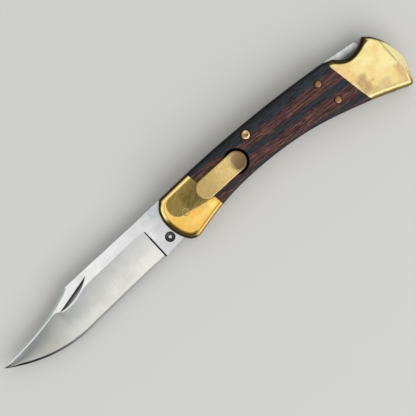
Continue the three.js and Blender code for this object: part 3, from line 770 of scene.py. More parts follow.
def groundBlade():  # a grid dragged into the show side's surface, closed to the middle plane and mirrored
    shape = bladeShape
    stations = bladeStations()
    rows = len(bladeColumn(-30, 1))
    bpy.ops.object.select_all(action="DESELECT")
    bpy.ops.mesh.primitive_grid_add(x_subdivisions=len(stations) - 1, y_subdivisions=rows - 1, size=1)
    blade = named("bladeSteelGround")
    edit(blade)
    shapeMesh = bmesh.from_edit_mesh(blade.data)
    order = sorted(shapeMesh.verts, key=lambda v: (-round(v.co.x, 5), -v.co.y))
    bpy.ops.mesh.select_mode(type="VERT")
    bpy.ops.mesh.select_all(action="DESELECT")
    for column, (x, ground, lean) in enumerate(stations):
        heights = bladeColumn(x, ground)
        spine, edge = heights[0][0], heights[-1][0]
        for row, (y, half) in enumerate(heights):
            leanX = x + lean * (spine - y) / (spine - edge)
            vertex = order[column * rows + row]
            vertex.select_set(True)
            bpy.ops.transform.translate(value=Vector((leanX, y, half)) * mm - vertex.co)
            vertex.select_set(False)
    pick(blade, "edges", lambda e: e.is_boundary)
    bpy.ops.mesh.extrude_region_move()
    bpy.ops.transform.resize(value=(1, 1, 0), center_override=(0, 0, 0))
    outwards()
    done()
    applied(blade, "MIRROR", use_axis=(False, False, True), merge_threshold=0.002 * mm)
    edit(blade)
    pick(blade, "faces", lambda f: all(abs(v.co.z) < 1e-7 for v in f.verts))
    bpy.ops.mesh.delete(type="FACE")
    pick(blade, "edges", onSpine)
    bpy.ops.mesh.bevel(offset=shape["spineBreak"] * mm, segments=2, affect="EDGES")
    everything()
    slide(z=middle)
    outwards()
    done()
    return blade


def tangOutline():
    shape = bladeShape
    lockEnd, heel = math.radians(shape["notchAngle"]), math.radians(shape["heelAngle"])
    start, shoulder = shape["ricassoX"] - 1, shape["spine"][0]
    notch, notchX = shape["notchRadius"], shape["notchX"]
    return (
        [(start, spineHeight(start)), (shoulder, spineHeight(shoulder)), (notchX, backHeight(notchX))]
        + arc((0, 0), notch, math.acos(notchX / notch), lockEnd, 8)
        + arc((0, 0), shape["tangRadius"], lockEnd, heel, 40)
        + [shape["heel"], (start, edgeHeight(start))]
    )


def nickCutter():  # a grinding wheel laid nearly flat, of which only the lower part cuts
    shape = bladeShape
    radius = ((shape["nickLength"] / 2) ** 2 + shape["nickWidth"] ** 2) / (2 * shape["nickWidth"])
    wheel = rod(0, radius, radius, 0, 2 * shape["half"], 192)
    edit(wheel)
    everything()
    turnAbout(-math.atan2(shape["nickDepth"], shape["nickWidth"]), "X")
    slide(y=-shape["nickWidth"])
    bpy.ops.mesh.bisect(plane_co=(0, 0, 0), plane_no=(0, 1, 0), use_fill=True, clear_outer=True)
    everything()
    turnAbout(math.radians(shape["nickTurn"]), "Z")
    slide(shape["nick"][0], shape["nick"][1], layers["stockTop"])
    done()
    return wheel


def searCutter():
    shape = bladeShape
    low, high = layers["stockTop"] - shape["searDepth"], layers["stockTop"]
    cutter = rod(*shape["sear"], shape["searRadius"], low, high + hair / 10)
    edit(cutter)
    pick(cutter, "faces", lambda f: f.normal.z < -0.9)
    ratio = shape["searFloor"] / shape["searRadius"]
    centre = Vector((*shape["sear"], low)) * mm
    bpy.ops.transform.resize(value=(ratio, ratio, 1), center_override=centre)
    done()
    return cutter


blade = groundBlade()
print("blade ground", len(blade.data.polygons), "faces")
cutWith(blade, traced("cutter", tangOutline(), layers["stock"], layers["stockTop"]), how="UNION")
springHole = rod(*kickSpring["bladeHole"], layers["slot"] - 1, kickSpring["bladeHoleTop"], 24)
cutWith(blade, hole("pivot"), nickCutter(), searCutter(), springHole)
smoothed(blade, 7)
print("blade finished", len(blade.data.polygons), "faces")


# Release lever and pins
span = lever["halfSpan"]
plateSize = lever["radius"], lever["low"], lever["high"], lever["sides"]
leverPlate = oblong("leverPlateBrass", -span, span, *plateSize)
rimBevel(leverPlate, lever["rounding"], lambda place: place.z > lever["high"] - hair, 4)
rimBevel(leverPlate, lever["footBreak"], lambda place: place.z < lever["low"] + hair)


def dishCutter():  # the bottom of a large ball
    depth, radius = lever["dishDepth"], lever["dishRadius"]
    ball = (radius**2 + depth**2) / (2 * depth)
    centre = Vector((*leverPlace(lever["dishPlace"]), lever["high"] - depth + ball)) * mm
    bpy.ops.object.select_all(action="DESELECT")
    bpy.ops.mesh.primitive_uv_sphere_add(
        segments=lever["sides"], ring_count=128, radius=ball * mm, location=centre
    )
    return named("cutter")


def crossRod(radius, length):  # a rod across the lever, at the height it rocks on
    bar = rod(0, 0, radius, -length / 2, length / 2)
    bar.rotation_euler.x = math.pi / 2
    bar.location.z = lever["axisHeight"] * mm
    return turnedOnLever(settled(bar))


def leverFoot():  # neck and eye that the lever rocks on
    x, y = lever["neck"][0] / 2, lever["neck"][1] / 2
    neck = turnedOnLever(block(-x, x, -y, y, lever["axisHeight"], lever["neckTop"]))
    return [neck, crossRod(*lever["eye"])]


cutWith(leverPlate, dishCutter())
cutWith(leverPlate, *leverFoot(), how="UNION")
searHole = rod(*lever["searPin"], lever["searHole"], layers["cover"], lever["searHoleTop"])
cutWith(leverPlate, crossRod(*lever["pinHole"]), searHole)
edit(leverPlate)
outwards()
done()
smoothed(leverPlate)


def turned(name, profile, place):  # a profile of (radius, height) points spun round a pin's axis
    pin = drawn(name, [(radius, 0, height) for radius, height in profile])
    everything()
    bpy.ops.mesh.spin(steps=48, angle=2 * math.pi, center=(0, 0, 0), axis=(0, 0, 1))
    outwards()
    slide(*place)
    done()
    smoothed(pin)
    return pin


# Profiles as (radius, height) points that begin on the axis and end there
pinProfiles = {
    "pivot": [(0, 0), (1.68, 0), (1.75, 0.07), (1.75, 14.93), (1.68, 15), (0, 15)],
    "rocker": [
        (0, 0), (1.92, 0), (2.0, 0.08), (2.0, 0.9), (1.5, 0.9), (1.5, 14.1), (2.0, 14.1), (2.0, 14.88),
        (1.93, 15.05), (1.75, 15.17), (1.5, 15.23), (1.25, 15.23), (1.02, 15.16), (0.85, 15.02),
        (0.6, 14.93), (0.3, 14.9), (0, 14.9),
    ],
    "rivetShow": [
        (0, 9.1), (1.2, 9.1), (1.2, 14.1), (1.6, 14.1), (1.6, 14.88), (1.52, 15.03), (1.3, 15.14),
        (0.95, 15.21), (0.5, 15.25), (0, 15.25),
    ],
    "rivetPile": [(0, 5.9), (1.2, 5.9), (1.2, 0.9), (1.6, 0.9), (1.6, 0.08), (1.52, 0), (0, 0)],
}
pinPieces = {
    "pivotPinFlush": ("pivot", "pivot"),
    "rockerPinHeaded": ("rocker", "rocker"),
    "upperRivetShow": ("rivetShow", "upperRivet"),
    "upperRivetPile": ("rivetPile", "upperRivet"),
    "lowerRivetShow": ("rivetShow", "lowerRivet"),
    "lowerRivetPile": ("rivetPile", "lowerRivet"),
}
for name, (profile, pin) in pinPieces.items():
    pinPieces[name] = turned(name, pinProfiles[profile], pins[pin]["place"])
print("lever and pins made")


# Materials: patterns are in mm on the piece's own coordinates, and colours are linear
grains = {  # size, turn, detail and roughness
    "patchEdge": ((2.5, 2.0, 2.5),),
    "brassClouds": ((8, 6, 8),),
    "brassMottle": ((1.5, 1.1, 1.5), 20, 5),
    "scratches": ((14, 0.22, 14), 31, 2),
    "rubbing": ((0.2, 5, 5), -24, 2),
    "border": ((1.6, 1.6, 1.6),),
    "creaseShade": ((3, 2, 3),),
    "specks": ((0.8, 1.1, 1),),
    "brushing": ((0.14, 6, 6), lever["turn"], 3),
    "strokes": ((0.55, 1.9, 2.4), lever["turn"] + 4, 4, 0.7),
    "leverClouds": ((4, 3, 4), lever["turn"]),
    "leverMottle": ((0.9, 0.7, 0.9), lever["turn"], 4, 0.6),
    "waves": ((26, 6, 7), 0, 2),
    "ripples": ((5, 0.8, 2), 0, 4, 0.65),
    "streaks": ((7, 0.62, 1.1), 1, 4, 0.65),
    "fibres": ((2.8, 0.36, 0.5), -1, 4, 0.7),
    "pores": ((3.8, 0.36, 0.36), 0.5, 2),
    "steelClouds": ((7, 5, 7), 10, 3),
    "smudges": ((5, 3, 5), 35, 4),
    "barWear": ((2.4, 0.9, 2.4), 20, 4, 0.65),
}
filling = {}


def nodesOf(owner):  # the nodes made from here on belong to this material or world
    owner.use_nodes = True
    filling["tree"] = owner.node_tree
    return owner


def newLook(name):
    return nodesOf(bpy.data.materials.new(name))


def put(socket, value):  # fills a socket, or links it to another node's output
    if isinstance(value, bpy.types.NodeSocket):
        filling["tree"].links.new(value, socket)
    elif socket.type == "RGBA":
        socket.default_value = (*value, 1)
    else:
        socket.default_value = value


def node(kind, sockets, **settings):
    made = filling["tree"].nodes.new("ShaderNode" + kind)
    for name, value in settings.items():
        setattr(made, name, value)
    for name, value in sockets.items():
        put(made.inputs[name], value)
    return made


def calc(operation, *values):
    return node("Math", dict(enumerate(values)), operation=operation).outputs[0]


def plus(base, value, factor):  # the base and a share of the value
    return calc("MULTIPLY_ADD", value, factor, base)


def wavering(value, noise, reach):
    return plus(calc("SUBTRACT", value, reach / 2), noise, reach)


def scaled(values, factor):
    return [value * factor for value in values]


def spread(value, low, high, lowest=0.0, highest=1.0):  # eases from lowest to highest between low and high
    sockets = {"Value": value, "From Min": low, "From Max": high, "To Min": lowest, "To Max": highest}
    return node("MapRange", sockets, interpolation_type="SMOOTHSTEP").outputs["Result"]


def mixed(share, first, second):
    return node("Mix", {0: share, 6: first, 7: second}, data_type="RGBA").outputs[2]


def ramped(value, *stops):  # a colour ramp over (value, colour) stops
    low, high = stops[0][0], stops[-1][0]
    share = node("MapRange", {"Value": value, "From Min": low, "From Max": high}).outputs["Result"]
    ramp = node("ValToRGB", {"Fac": share})
    marks = ramp.color_ramp.elements
    marks[0].color, marks[1].color = (*stops[0][1], 1), (*stops[-1][1], 1)
    for place, colour in stops[1:-1]:
        marks.new((place - low) / (high - low)).color = (*colour, 1)
    return ramp.outputs["Color"]


def measured(size, turn=0, centre=(0, 0, 0)):  # own coordinates from a centre, counted in sizes
    sockets = {
        "Vector": node("TexCoord", {}).outputs["Object"],
        "Location": scaled(centre, mm),
        "Rotation": (0, 0, math.radians(turn)),
        "Scale": scaled(size, mm),
    }
    return node("Mapping", sockets, vector_type="TEXTURE").outputs["Vector"]


def along(axis, turn=0, centre=(0, 0, 0)):
    return node("SeparateXYZ", {"Vector": measured((1, 1, 1), turn, centre)}).outputs[axis]


def grain(size, turn=0, detail=3, roughness=0.55):  # noise whose grains have that size
    sockets = {"Vector": measured(size, turn), "Scale": 1, "Detail": detail, "Roughness": roughness}
    return node("TexNoise", sockets).outputs["Fac"]


def spot(box, radius, soft, ragged=0.3, turn=0, growth=0):  # 1 near the box (left, right, low, high)
    flat = measured((1, 1, 1e6), turn)
    parts = node("SeparateXYZ", {"Vector": flat}).outputs
    nearX = node("Clamp", {"Value": parts["X"], "Min": box[0], "Max": box[1]}).outputs[0]
    nearY = node("Clamp", {"Value": parts["Y"], "Min": box[2], "Max": box[3]}).outputs[0]
    core = node("CombineXYZ", {"X": nearX, "Y": nearY}).outputs[0]
    away = node("VectorMath", {0: flat, 1: core}, operation="DISTANCE").outputs["Value"]
    wander = plus(away, grain(*grains["patchEdge"]), 4 * ragged)
    if growth:
        wander = plus(wander, calc("SUBTRACT", nearX, box[0]), -growth)
    return spread(wander, radius + 2 * ragged + soft, radius + 2 * ragged - soft)


def fromPoint(x, y):  # the distance from a line through (x, y) along Z
    flat = measured((1, 1, 1e6), 0, (x, y, 0))
    return node("VectorMath", {0: flat}, operation="LENGTH").outputs["Value"]


def band(value, middleValue, width):  # 1 at the middle value and 0 a width away from it
    return spread(calc("ABSOLUTE", calc("SUBTRACT", value, middleValue)), width, width * 0.3)


def product(*values):
    result = values[0]
    for value in values[1:]:
        result = calc("MULTIPLY", result, value)
    return result


def facing(x, y, z, low, high):  # 1 where the piece's surface looks that way
    normal = node("TexCoord", {}).outputs["Normal"]
    share = node("VectorMath", {0: normal, 1: (x, y, z)}, operation="DOT_PRODUCT").outputs["Value"]
    return spread(share, low, high)


def finished(look, colour, roughness, height=None, depth=0.01, metal=1.0, gloss=0.5):
    shader = look.node_tree.nodes["Principled BSDF"]
    put(shader.inputs["Base Color"], colour)
    put(shader.inputs["Roughness"], roughness)
    shader.inputs["Metallic"].default_value = metal
    shader.inputs["Specular IOR Level"].default_value = gloss
    if height:
        bump = node("Bump", {"Height": height, "Distance": depth * mm, "Strength": 1.0})
        put(shader.inputs["Normal"], bump.outputs["Normal"])
    return look


# The bolsters are one brass, and their front and rear tones differ as a painted reflection
brassTones = {
    "frontBright": (0.94, 0.66, 0.19),
    "frontDeep": (0.84, 0.51, 0.11),
    "rearBright": (0.95, 0.82, 0.40),
    "rearDeep": (0.86, 0.66, 0.27),
    # tone of the painted shade on the brass's darker sides and on the thumb cut-out's wall
    "shadeTone": (0.045, 0.034, 0.012),
    "polish": (1.0, 0.86, 0.42),
    "roughness": 0.24,
}
# Stains and patches of painted reflection and shade: box, radius, softness, raggedness, turn, growth,
# colour and strength
# painted reflection on the front bolster: a dark olive patch with softer shading round it, and orange and
# gold spots below it
frontReflections = [
    ((3.0, 9.5, -2.2, -1.0), 0.6, 1.4, 0.3, 0, 0, (0.60, 0.385, 0.125), 0.6),
    ((-1.2, 14.0, 4.0, 4.4), 4.75, 0.3, 0.2, 0, 0.115, (0.20, 0.145, 0.045), 0.96),
    ((3.0, 9.0, 1.2, 4.6), 1.5, 2.0, 0.5, 0, 0, (0.105, 0.073, 0.018), 0.8),
    ((3.0, 10.0, 7.0, 8.0), 1.0, 1.4, 0.4, 0, 0, (0.125, 0.092, 0.026), 0.45),
    ((1.0, 4.5, -3.4, -2.6), 0.8, 1.3, 0.4, 0, 0, (0.76, 0.38, 0.09), 0.7),
    ((7.0, 9.0, -3.6, -2.8), 0.5, 0.9, 0.4, 0, 0, (0.55, 0.36, 0.13), 0.6),
    ((10.5, 12.5, -4.9, -4.2), 0.7, 1.2, 0.3, 0, 0, (0.98, 0.76, 0.22), 0.6),
]
rearStains = [
    ((93.0, 95.3, -5.5, 0.2), 1.5, 1.5, 0.7, 0, 0, (0.40, 0.26, 0.12), 0.88),
    ((98.2, 98.8, -3.4, -2.8), 0.3, 0.5, 0.2, 0, 0, (0.45, 0.31, 0.125), 0.75),
    ((87.5, 92.5, 1.5, 11.0), 1.0, 1.8, 0.5, 0, 0, (0.66, 0.44, 0.19), 0.85),
    ((95.0, 103.5, -10.8, -6.8), 1.0, 1.8, 0.7, 0, 0, (0.51, 0.365, 0.175), 0.88),
    ((103.5, 107.5, -12.5, -10.4), 0.6, 1.2, 0.5, 0, 0, (0.51, 0.365, 0.175), 0.8),
    ((109.8, 111.6, -12.6, -4.5), 1.0, 1.3, 0.6, 0, 0, (0.54, 0.345, 0.165), 0.9),
    ((109.7, 109.7, -22.0, -12.0), 0.15, 0.45, 0.05, 9, 0, (0.42, 0.33, 0.15), 0.9),
]


# The fifth argument holds the directions in which the brass is painted darker as painted shade, and trims
# is a function that adds colour
def brassLook(name, bright, deep, stainsAndShading=(), shadedSides=(), roughness=brassTones["roughness"], trims=None):
    look = newLook(name)
    clouds, mottle = grain(*grains["brassClouds"]), grain(*grains["brassMottle"])
    scratches = spread(grain(*grains["scratches"]), 0.56, 0.70)
    rubbing = grain(*grains["rubbing"])
    colour = mixed(spread(clouds, 0.36, 0.66), bright, deep)
    colour = mixed(spread(mottle, 0.42, 0.72, 0, 0.5), colour, deep)
    dull = 0.0
    # mixes in the stains and the patches of painted reflection and shade
    for box, radius, soft, ragged, turn, growth, tint, strength in stainsAndShading:
        mask = product(spot(box, radius, soft, ragged, turn, growth), strength)
        streaky = mixed(spread(mottle, 0.35, 0.65, 0, 0.6), tint, scaled(tint, 1.5))
        streaky = mixed(product(scratches, 0.5), streaky, scaled(tint, 2.2))
        colour = mixed(mask, colour, streaky)
        dull = calc("MAXIMUM", dull, mask)
    colour = mixed(product(scratches, 0.15), colour, brassTones["polish"])
    if trims:
        colour = trims(colour)
    wall = plus(0.5, facing(0, 0, 1, 0.0, 0.25), 0.5)
    for side in shadedSides:
        # painted shade on the sides facing these directions, weaker on upright walls
        wearAndShade = product(facing(*side, 0.10, 0.46), spread(mottle, 0.2, 0.6, 0.82, 0.98), wall)
        colour = mixed(wearAndShade, colour, brassTones["shadeTone"])
    rough = plus(plus(roughness, dull, 0.16), mottle, 0.10)
    rough = plus(calc("SUBTRACT", rough, 0.08), rubbing, 0.10)
    height = plus(plus(product(mottle, 0.3), scratches, -0.5), rubbing, 0.35)
    return finished(look, colour, rough, height, 0.004)


def rimOf():  # the distance from the handle's outline that rimMarked keeps
    return node("Attribute", {}, attribute_name="rim").outputs["Fac"]


# Painted highlights and painted shade along the handle's outline: place, way, its two distances from the
# outline, strength and colour
frontRimShading = [
    ("nose", "evenEdge", 3.4, 3.0, 0.75, (1.0, 0.76, 0.26)),
    ("nose", "evenLine", 1.6, 0.6, 0.8, (1.0, 0.86, 0.40)),
    ("nose", "line", 2.5, 0.42, 0.85, (0.50, 0.29, 0.075)),
    ("front", "edge", 1.3, 0.7, 0.88, (0.13, 0.095, 0.025)),
    ("back", "evenEdge", 2.55, 2.2, 0.9, (1.0, 0.80, 0.34)),
    ("back", "edge", 1.95, 1.4, 0.85, (0.56, 0.37, 0.12)),
    ("back", "edge", 1.3, 0.8, 0.9, (0.08, 0.065, 0.02)),
    ("chin", "edge", 3.1, 2.45, 0.75, (0.42, 0.26, 0.075)),
    ("chin", "edge", 2.75, 2.0, 0.96, (0.058, 0.042, 0.007)),
    ("belly", "line", 1.35, 0.75, 0.95, (0.36, 0.18, 0.04)),
    ("belly", "evenEdge", 1.0, 0.8, 0.8, (0.62, 0.43, 0.15)),
    ("belly", "edge", 0.55, 0.2, 0.85, (0.14, 0.10, 0.025)),
]
# painted highlights and painted shade along the rear bolster's rims, with painted shade on the wall of the
# thumb cut-out
rearRimShading = [
    ("belly", "evenLine", 1.65, 0.45, 0.9, (0.96, 0.84, 0.43)),
    ("belly", "edge", 1.5, 1.0, 0.92, (0.19, 0.12, 0.03)),
    ("cutOut", "evenEdge", 2.5, 1.9, 0.96, brassTones["shadeTone"]),
]


# mixes the painted highlights and painted shade into the brass along its rims
def rimShaded(colour, borders, places):
    rim = rimOf()
    uneven = wavering(rim, grain(*grains["border"]), 0.3)
    ways = {
        "evenEdge": (spread, rim),
        "edge": (spread, uneven),
        "evenLine": (band, rim),
        "line": (band, uneven),
    }
    for place, way, first, second, strength, tone in borders:
        shape, distance = ways[way]
        colour = mixed(product(places[place], shape(distance, first, second), strength), colour, tone)
    return colour


def frontTrims(colour):  # the painted highlights and shade along the rims, and the ring round the pivot pin
    x, y = along("X"), along("Y")
    front = spread(x, -4.6, -6.0)
    places = {
        "front": front,
        "nose": product(front, spread(y, 1.2, 3.4)),
        "back": product(spread(y, 7.2, 8.6), spread(x, -8.4, -6.6)),
        "chin": product(spread(x, 0.2, -2.0), spread(y, 3.4, -0.2)),
        "belly": product(spread(y, -4.2, -6.0), spread(x, -3.0, -1.0)),
    }
    colour = rimShaded(colour, frontRimShading, places)
    away = fromPoint(*pins["pivot"]["place"])
    colour = mixed(product(band(away, 1.5, 0.36), 0.75), colour, (0.54, 0.42, 0.18))
    return mixed(product(band(away, 0.7, 0.3), 0.3), colour, (0.50, 0.39, 0.16))


def rearTrims(colour):  # the facet, lightened as a painted reflection, with painted shade along its crease and worn specks, then the painted highlights and shade along the rims
    x, y = along("X"), along("Y")
    crease = along("X", coverShape["facetLean"], (coverShape["facetX"], 0, 0))
    facet = product(spread(crease, -0.1, 0.2), spread(y, -13.5, -11.5), spread(y, 9.2, 8.4))
    # painted reflection: the tilted facet painted lighter
    colour = mixed(product(facet, 0.7), colour, (1.0, 0.88, 0.47))
    # painted shade along the facet's crease, broken up by noise
    creaseShade = product(band(crease, -0.1, 0.5), spread(y, -5.0, 0.0), spread(y, 9.4, 8.0))
    patchy = spread(grain(*grains["creaseShade"]), 0.2, 0.5, 0.3, 0.6)
    colour = mixed(product(creaseShade, patchy), colour, (0.42, 0.33, 0.14))
    wearAndShade = band(along("X", -12.5, (113.0, -7.0, 0)), 0, 0.3)
    wearAndShade = product(wearAndShade, spread(y, -14.0, -12.0), spread(y, 3.5, 1.0))
    specks = product(wearAndShade, spread(grain(*grains["specks"]), 0.48, 0.56), spread(rimOf(), 0.3, 0.6))
    colour = mixed(product(specks, 0.75), colour, (0.22, 0.17, 0.07))
    places = {
        "belly": product(spread(y, -6.0, -8.0), spread(x, 112.5, 111.0)),
        "cutOut": product(spread(y, 7.0, 8.5), spread(x, 107.5, 106.0)),
    }
    return rimShaded(colour, rearRimShading, places)


frontBrass = brassLook(
    "frontBolsterBrass",
    brassTones["frontBright"],
    brassTones["frontDeep"],
    frontReflections,
    [(-0.95, -0.3, 0), (0, 1, 0)],
    trims=frontTrims,
)
rearBrass = brassLook(
    "rearBolsterBrass",
    brassTones["rearBright"],
    brassTones["rearDeep"],
    rearStains,
    [(0, 1, 0)],
    trims=rearTrims,
)
# painted shade on the rocker pin's head, on its upper left and in its dimple, and on the upper left sides
# of the pins and rivets
pinShade = [
    ((39.0, 39.6, 11.3, 12.5), 0.9, 0.7, 0.05, 0, 0, (0.26, 0.15, 0.06), 0.9),
    ((40.4, 40.4, 11.0, 11.0), 0.5, 0.3, 0.1, 0, 0, (0.17, 0.105, 0.045), 0.9),
]
pinShadedSides = [(-0.6, 0.8, 0)]
pinBrass = brassLook("rockerPinBrass", (0.82, 0.59, 0.31), (0.52, 0.34, 0.15), pinShade, pinShadedSides, 0.3)
rivetBrass = brassLook("rivetBrass", (0.225, 0.112, 0.060), (0.285, 0.158, 0.088), (), pinShadedSides, 0.36)


def linerTrims(colour):  # painted shade on the flat faces, which only the pockets show
    return mixed(facing(0, 0, 1, 0.5, 0.9), colour, (0.004, 0.003, 0.002))


linerBrass = brassLook(
    "linerBrass", (0.78, 0.56, 0.20), (0.60, 0.40, 0.13), roughness=0.34, trims=linerTrims
)

leverFinish = {
    "bright": (0.78, 0.59, 0.25),
    "front": (0.53, 0.385, 0.155),
    "dish": (0.160, 0.082, 0.056),
    "cloud": (0.58, 0.41, 0.15),
    "mottle": (0.42, 0.29, 0.12),
    "rim": (0.80, 0.62, 0.30),
    "roughness": 0.42,
}


def leverLook():
    look = newLook("leverBrushedBrass")
    finish = leverFinish
    brushing, strokes = grain(*grains["brushing"]), grain(*grains["strokes"])
    clouds, mottle = grain(*grains["leverClouds"]), grain(*grains["leverMottle"])
    distance = along("X", lever["turn"], (*lever["centre"], 0))
    colour = mixed(spread(distance, -8, 3), finish["front"], finish["bright"])
    colour = mixed(spread(clouds, 0.4, 0.7, 0, 0.4), colour, finish["cloud"])
    colour = mixed(spread(mottle, 0.5, 0.7, 0, 0.45), colour, finish["mottle"])
    x, y = leverPlace(lever["dishPlace"])
    # painted shade in the dish
    dish = spot((x + 0.3, x + 1.8, y - 2.2, y + 1.2), 2.9, 1.3, 0.15)
    colour = mixed(product(dish, 0.9), colour, finish["dish"])
    colour = mixed(spread(brushing, 0.4, 0.75, 0, 0.35), colour, scaled(finish["bright"], 0.62))
    colour = mixed(spread(strokes, 0.46, 0.60, 0, 0.34), colour, scaled(finish["front"], 0.55))
    # painted highlight on the plate's sloping rim, weaker in the dish
    rim = product(facing(0, 0, 1, 0.96, 0.7), spread(dish, 0, 1, 1, 0.3))
    colour = mixed(rim, colour, finish["rim"])
    rough = plus(plus(finish["roughness"] - 0.06, dish, 0.06), brushing, 0.18)
    return finished(look, colour, rough, plus(brushing, strokes, 0.5), 0.008)


leverBrass = leverLook()

woodTones = {
    "red": (0.066, 0.024, 0.021),
    "redLight": (0.110, 0.043, 0.036),
    "redDark": (0.030, 0.012, 0.012),
    "frontRed": (0.100, 0.034, 0.020),
    "streak": (0.230, 0.105, 0.090),
    "blue": (0.010, 0.015, 0.020),
    "blueLight": (0.022, 0.028, 0.037),
    "blueStreak": (0.046, 0.055, 0.067),
    "black": (0.003, 0.003, 0.004),
    "pocket": (0.002, 0.002, 0.002),
}
woodFan = {"from": 36, "start": 1.325, "fall": -0.0065, "middle": 4.5}  # how the veneers draw together
veneers = [  # height and dye
    (-12, "redDark"), (-6.5, "red"), (-4.1, "red"), (-3.6, "blue"), (-2.9, "blueLight"), (-2.5, "red"),
    (0.4, "redLight"), (2.3, "red"), (2.8, "blue"), (3.8, "blueLight"), (4.7, "blue"), (5.2, "red"),
    (7.4, "redLight"), (9.3, "red"), (9.8, "blueLight"), (13.0, "blue"), (13.9, "black"), (17, "black"),
]


def woodLook():  # dyed veneers pressed together, cut along their grain
    look = newLook("laminatedWood")
    tone, fan = woodTones, woodFan
    x, y, z = along("X"), along("Y"), along("Z")
    squeeze = plus(fan["start"], calc("MAXIMUM", x, fan["from"]), fan["fall"])
    height = plus(fan["middle"], calc("SUBTRACT", y, fan["middle"]), squeeze)
    height = wavering(height, grain(*grains["waves"]), 2.2)
    height = wavering(height, grain(*grains["ripples"]), 1.5)
    colour = ramped(height, *[(place, tone[dye]) for place, dye in veneers])
    forward = spot((8, 25, 7.9, 10.0), 0.7, 0.7, 0.4)
    colour = mixed(product(forward, 0.92), colour, tone["frontRed"])
    streaks, fibres = grain(*grains["streaks"]), grain(*grains["fibres"])
    pores = spread(grain(*grains["pores"]), 0.57, 0.64)
    reddish = spread(node("SeparateColor", {"Color": colour}).outputs["Red"], 0.03, 0.06)
    light = product(spread(streaks, 0.50, 0.60), spread(fibres, 0.62, 0.42), reddish)
    colour = mixed(product(light, 0.7), colour, tone["streak"])
    bluish = product(spread(fibres, 0.44, 0.58), calc("SUBTRACT", 1.0, reddish), 0.42)
    colour = mixed(bluish, colour, tone["blueStreak"])
    colour = mixed(spread(streaks, 0.50, 0.36, 0, 0.9), colour, tone["black"])
    colour = mixed(spread(fibres, 0.50, 0.68, 0.0, 0.6), colour, tone["black"])
    colour = mixed(product(pores, 0.75), colour, tone["black"])
    # painted shade: the wood's rounded edges along the back and the belly painted near black, less on
    # upright walls
    edges = calc("MAXIMUM", facing(0, 1, 0, 0.12, 0.5), facing(0, -1, 0, 0.45, 0.85))
    wall = plus(0.35, facing(0, 0, 1, 0.0, 0.2), 0.45)
    colour = mixed(product(edges, wall), colour, tone["black"])
    # painted shade: the pocket under the lever's rear end painted near black below the top face
    cx, cy = leverPlace(lever["halfSpan"])
    pocket = spot((cx, cx, cy, cy), lever["pocketRadius"] + 0.4, 0.1, 0)
    pocket = product(pocket, spread(z, 14.6, 14.2))
    colour = mixed(pocket, colour, tone["pocket"])
    rough = plus(plus(0.36, pores, 0.2), streaks, 0.2)
    relief = plus(plus(streaks, pores, -1.0), fibres, 0.3)
    return finished(look, colour, rough, relief, 0.02, 0.0, 0.22)


scaleWood = woodLook()

steelTones = {
    "flat": (0.79, 0.79, 0.80),
    "flatFront": (0.87, 0.87, 0.865),
    "flatBright": (0.94, 0.94, 0.935),
    "flatRear": (0.70, 0.70, 0.70),
    "flatDull": (0.66, 0.66, 0.68),
    "bluish": (0.47, 0.52, 0.56),
    "cloud": (0.185, 0.195, 0.180),
    "line": (0.03, 0.033, 0.033),
    # swedge lightened and tinted green as a painted reflection
    "swedge": (0.78, 0.90, 0.84),
    # plunge near black as painted shade along the plunge line
    "plunge": (0.026, 0.027, 0.027),
}
flatStops = [
    (-60, steelTones["flatFront"]), (-46, steelTones["flatBright"]), (-27, steelTones["flat"]),
    (-13, steelTones["flatRear"]),
]
hollowStops = {  # along X, in the lower part of the hollow and up under the grinding line
    "low": [
        (-104, (0.40, 0.40, 0.37)), (-80, (0.54, 0.53, 0.49)), (-68, (0.71, 0.705, 0.665)),
        (-50, (0.78, 0.77, 0.72)), (-18, (0.84, 0.82, 0.77)),
    ],
    "high": [
        (-104, (0.155, 0.16, 0.155)), (-80, (0.175, 0.185, 0.18)), (-68, (0.27, 0.28, 0.275)),
        (-50, (0.32, 0.325, 0.32)), (-18, (0.43, 0.435, 0.43)),
    ],
}
edgeStops = [
    (-104, (0.010, 0.012, 0.014)), (-88, (0.019, 0.022, 0.022)), (-79, (0.058, 0.062, 0.062)),
    (-70, (0.10, 0.105, 0.10)), (-58, (0.16, 0.165, 0.155)), (-18, (0.225, 0.222, 0.205)),
]
nickStops = [  # down the nick's floor, painted shade from dark under its upper wall to light at its lower side
    (-2.2, (0.72, 0.72, 0.71)), (-1.7, (0.42, 0.42, 0.42)), (-1.0, (0.10, 0.10, 0.10)),
    (0, (0.01, 0.01, 0.01)),
]
searTones = {"light": (0.80, 0.81, 0.83), "grey": (0.26, 0.27, 0.28), "dark": (0.03, 0.032, 0.035)}
searRings = [  # radius and tone, a painted highlight on the hole's floor with painted shade round it and at its rim
    (0.4, "light"), (0.75, "grey"), (0.95, "dark"), (1.25, "grey"), (1.65, "grey"), (1.95, "dark"),
    (2.4, "dark"),
]


# paint is a colour or a function that makes one, and marks are the size and turn of the grinding lines
def steelLook(name, paint, marks, roughness, depth=0.004):
    look = newLook(name)
    lines, clouds = grain(*marks, 3, 0.6), grain(*grains["steelClouds"])
    colour = paint() if callable(paint) else paint
    colour = mixed(spread(clouds, 0.35, 0.75, 0, 0.16), colour, steelTones["cloud"])
    dark = mixed(0.55, colour, steelTones["line"])
    colour = mixed(spread(lines, 0.38, 0.7, 0, 0.28), colour, dark)
    rough = plus(plus(roughness - 0.12, clouds, 0.08), lines, 0.16)
    return finished(look, colour, rough, lines, depth)


def flatColour():
    bright = ramped(along("X"), *flatStops)
    smudged = spread(grain(*grains["smudges"]), 0.48, 0.75, 0, 0.4)
    colour = mixed(smudged, bright, steelTones["flatDull"])
    buffed = spot((-19, -17.5, -1, 3), 1.0, 1.8, 0.4)
    colour = mixed(product(buffed, 0.5), colour, steelTones["flatBright"])
    stained = spot((-13, -7, 6.5, 10), 1.2, 1.6, 0.5)
    return mixed(product(stained, 0.6), colour, steelTones["bluish"])


